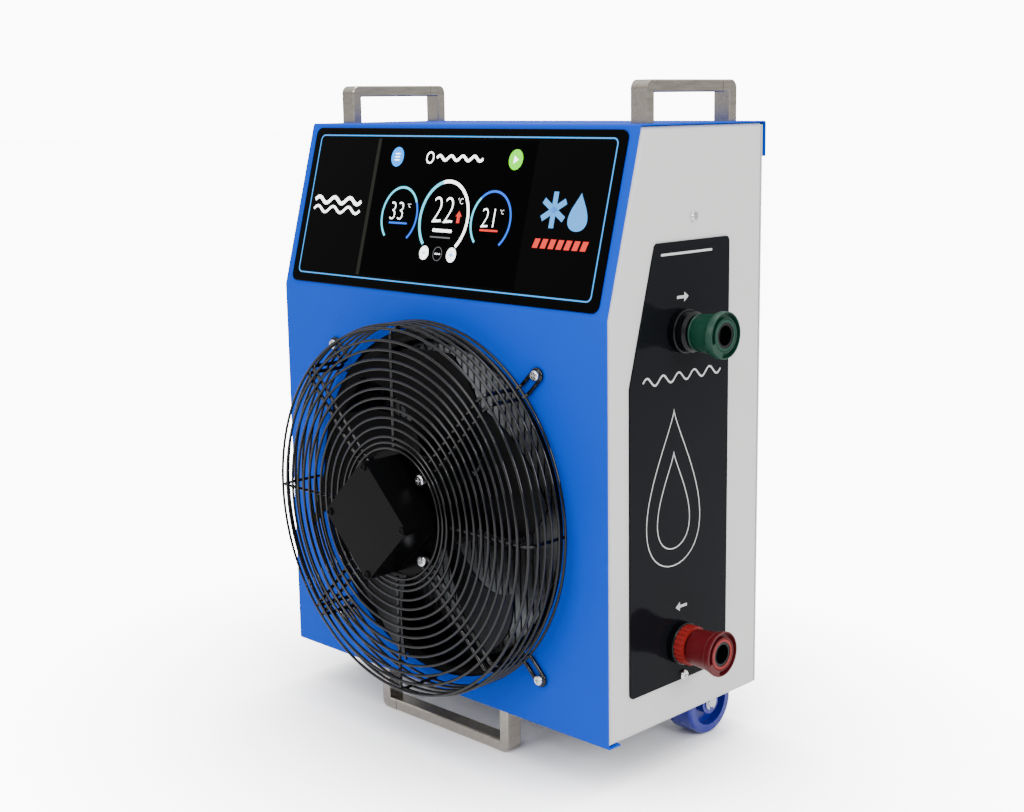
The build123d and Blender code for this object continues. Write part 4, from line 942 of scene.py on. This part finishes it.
class CHILLER_OT_inlay(bpy.types.Operator):
    """Pale printed signs on the side inlay"""

    bl_idname = "chiller.inlay"
    bl_label = "Side inlay signs"

    def mark(self, name, shapes):
        """A printed mark on the inlay."""
        where = ("casing", "inlay_black", inlay_point, 0.0, PRINT_THICK)
        return flat_mark(name, shapes, "print_grey", *where)

    def execute(self, context):
        self.mark("inlay_drop_outer", strip(drop(88, 311, 126, 168), 1.2, True))
        self.mark("inlay_drop_inner", strip(drop(88, 298, 76, 104), 1.2, True))
        self.mark("inlay_wave", strip(wave(38, 166, 430, 4.5, 5, 80), 2.0))
        self.mark("inlay_top_bar", [bar(66, 150, 558.5, 2.4)])
        out_arrow = [
            (92, 511.5), (104, 511.5), (104, 508), (111, 513),
            (104, 518), (104, 514.5), (92, 514.5),
        ]
        in_arrow = [
            (111, 177.5), (99, 177.5), (99, 174), (92, 179),
            (99, 184), (99, 180.5), (111, 180.5),
        ]
        self.mark("inlay_out_arrow", [out_arrow])
        self.mark("inlay_in_arrow", [in_arrow])
        return {"FINISHED"}


class CHILLER_OT_finishes(bpy.types.Operator):
    """Finishes of the frame's own parts"""

    bl_idname = "chiller.finishes"
    bl_label = "Part finishes"

    def execute(self, context):
        for name, obj in NODES.items():
            paint = material(NODE_FINISH.get(name, "box_plastic"))
            for slot in obj.material_slots:
                slot.material = paint
        return {"FINISHED"}


# How far round the object the floor's painted contact shadow reaches and how fast it fades, and
# half of the floor's side
PAINTED_SHADOW_REACH = 0.45
PAINTED_SHADOW_FALL = 3.0
FLOOR_HALF = 30.0
# Each light's setting, place, target and size
LIGHTS = (
    ("key", (-0.2, -2.7, 1.9), (0, 0, 0.35), 1.1),
    ("fill", (2.9, -0.2, 1.5), (0.2, 0.1, 0.35), 1.0),
    ("spark", (1.6, -2.4, 2.3), (0.1, 0, 0.3), 0.3),
    ("top", (0.2, 0.3, 2.6), (0, 0.1, 0.5), 1.2),
)
# The camera that was fitted to the photograph: degrees, metres, mm of lens, shares of the width
CAMERA_TURN = (44.215, 10.714, -0.702)
CAMERA_PLACE = (1.2751, -1.1533, 0.7147)
CAMERA_LENS = 54.91
CAMERA_SHIFT = (-0.02734, -0.01025)
SKY_SEEN = 11.0


class StageSettings(bpy.types.PropertyGroup):
    """Light and floor of the studio."""

    key: FloatProperty(
        name="Key light", description="Power of the main light", default=34.0, unit="POWER"
    )
    fill: FloatProperty(
        name="Fill light", description="Power of the fill light", default=50.0, unit="POWER"
    )
    top: FloatProperty(
        name="Top light", description="Power of the light overhead", default=22.0, unit="POWER"
    )
    spark: FloatProperty(
        name="Glint light", description="Power of the small light", default=14.0, unit="POWER"
    )
    glow: FloatProperty(
        name="Floor glow", description="Brightness that the camera sees on the floor", default=9.6
    )
    floor: FloatVectorProperty(
        name="Floor",
        description="Colour of the floor",
        subtype="COLOR",
        size=3,
        default=(0.9, 0.9, 0.92),
    )


class CHILLER_OT_stage(bpy.types.Operator):
    """Pale floor with a painted contact shadow, soft studio lights and the camera"""

    bl_idname = "chiller.stage"
    bl_label = "Studio"

    def light(self, name, at, target, power, size):
        """A square area light that faces a point."""
        data = bpy.data.lights.new(name, "AREA")
        data.energy = power
        data.size = size
        obj = bpy.data.objects.new(name, data)
        bpy.context.scene.collection.objects.link(obj)
        obj.location = at
        obj.rotation_mode = "QUATERNION"
        obj.rotation_quaternion = (Vector(target) - Vector(at)).to_track_quat("-Z", "Y")

    def sky(self, tree):
        """White behind the object, but as light bright from above and dim from around."""
        where = node(tree, "ShaderNodeTexCoord").outputs["Generated"]
        rise = node(tree, "ShaderNodeSeparateXYZ", {0: where}).outputs["Z"]
        light = ranged(tree, rise, -0.1, 0.8, 0.3, 1.5)
        seen = node(tree, "ShaderNodeLightPath").outputs["Is Camera Ray"]
        strengths = {"Factor": seen, "A": light, "B": SKY_SEEN}
        mix = node(tree, "ShaderNodeMix", strengths, data_type="FLOAT")
        back = tree.nodes["Background"]
        tree.links.new(mix.outputs["Result"], back.inputs["Strength"])
        back.inputs["Color"].default_value = (1, 1, 1, 1)

    def execute(self, context):
        settings = context.scene.chiller_stage
        mesh = bpy.data.meshes.new("studio_floor")
        sides = ((-1, -1), (1, -1), (1, 1), (-1, 1))
        corners = [(x * FLOOR_HALF, y * FLOOR_HALF, 0) for x, y in sides]
        mesh.from_pydata(corners, [], [(0, 1, 2, 3)])
        floor = bpy.data.objects.new("studio_floor", mesh)
        context.scene.collection.objects.link(floor)
        mat, tree, shader = principled("Studio floor")
        shader.inputs["Base Color"].default_value = (*settings.floor, 1)
        shader.inputs["Roughness"].default_value = 0.6
        shader.inputs["Emission Color"].default_value = (0.97, 0.98, 1.0, 1)
        seen = node(tree, "ShaderNodeLightPath").outputs["Is Camera Ray"]
        glow = maths(tree, "MULTIPLY", seen, settings.glow)
        # Painted contact shadow: ambient occlusion darkens the floor's camera-seen glow near the
        # object
        shadow_occlusion = node(tree, "ShaderNodeAmbientOcclusion", {"Distance": PAINTED_SHADOW_REACH}, samples=16)
        painted_shadow = maths(tree, "POWER", shadow_occlusion.outputs["AO"], PAINTED_SHADOW_FALL)
        soft = maths(tree, "MULTIPLY", painted_shadow, glow)
        tree.links.new(soft, shader.inputs["Emission Strength"])
        mesh.materials.append(mat)
        world = bpy.data.worlds.new("Studio")
        world.use_nodes = True
        self.sky(world.node_tree)
        context.scene.world = world
        for name, at, target, size in LIGHTS:
            self.light(name, at, target, getattr(settings, name), size)
        camera_data = bpy.data.cameras.new("camera")
        camera_data.sensor_width = 36.0
        camera_data.lens = CAMERA_LENS
        camera_data.shift_x, camera_data.shift_y = CAMERA_SHIFT
        camera = bpy.data.objects.new("camera", camera_data)
        context.scene.collection.objects.link(camera)
        azimuth, elevation, roll = (radians(angle) for angle in CAMERA_TURN)
        flat = cos(elevation)
        back = Vector((sin(azimuth) * flat, -cos(azimuth) * flat, sin(elevation)))
        right = Vector((0, 0, 1)).cross(back).normalized()
        up = back.cross(right)
        across = right * cos(roll) + up * sin(roll)
        above = up * cos(roll) - right * sin(roll)
        turned = Matrix((across, above, back)).transposed().to_4x4()
        camera.matrix_world = Matrix.Translation(CAMERA_PLACE) @ turned
        context.scene.camera = camera
        return {"FINISHED"}


class CHILLER_PT_panel(bpy.types.Panel):
    """Lists the operators and the sizes that they use"""

    bl_label = "Chiller"
    bl_idname = "CHILLER_PT_panel"
    bl_space_type = "VIEW_3D"
    bl_region_type = "UI"
    bl_category = "Chiller"

    def draw(self, context):
        layout = self.layout
        for name in STEPS:
            layout.operator("chiller." + name)
        for settings in (context.scene.chiller_guard, context.scene.chiller_stage):
            for key in settings.__annotations__:
                layout.prop(settings, key)


STEPS = ("finishes", "guard", "couplings", "display", "inlay", "stage")
CLASSES = (
    GuardSettings,
    StageSettings,
    CHILLER_OT_finishes,
    CHILLER_OT_guard,
    CHILLER_OT_couplings,
    CHILLER_OT_display,
    CHILLER_OT_inlay,
    CHILLER_OT_stage,
    CHILLER_PT_panel,
)


def register():
    """Register the classes and the scene's settings."""
    for item in CLASSES:
        bpy.utils.register_class(item)
    bpy.types.Scene.chiller_guard = PointerProperty(type=GuardSettings)
    bpy.types.Scene.chiller_stage = PointerProperty(type=StageSettings)


def unregister():
    """Take the classes and the settings away again."""
    del bpy.types.Scene.chiller_stage
    del bpy.types.Scene.chiller_guard
    for item in reversed(CLASSES):
        bpy.utils.unregister_class(item)


def main():
    """Build everything in order."""
    register()
    for name in STEPS:
        getattr(bpy.ops.chiller, name)()


if __name__ == "__main__":
    main()
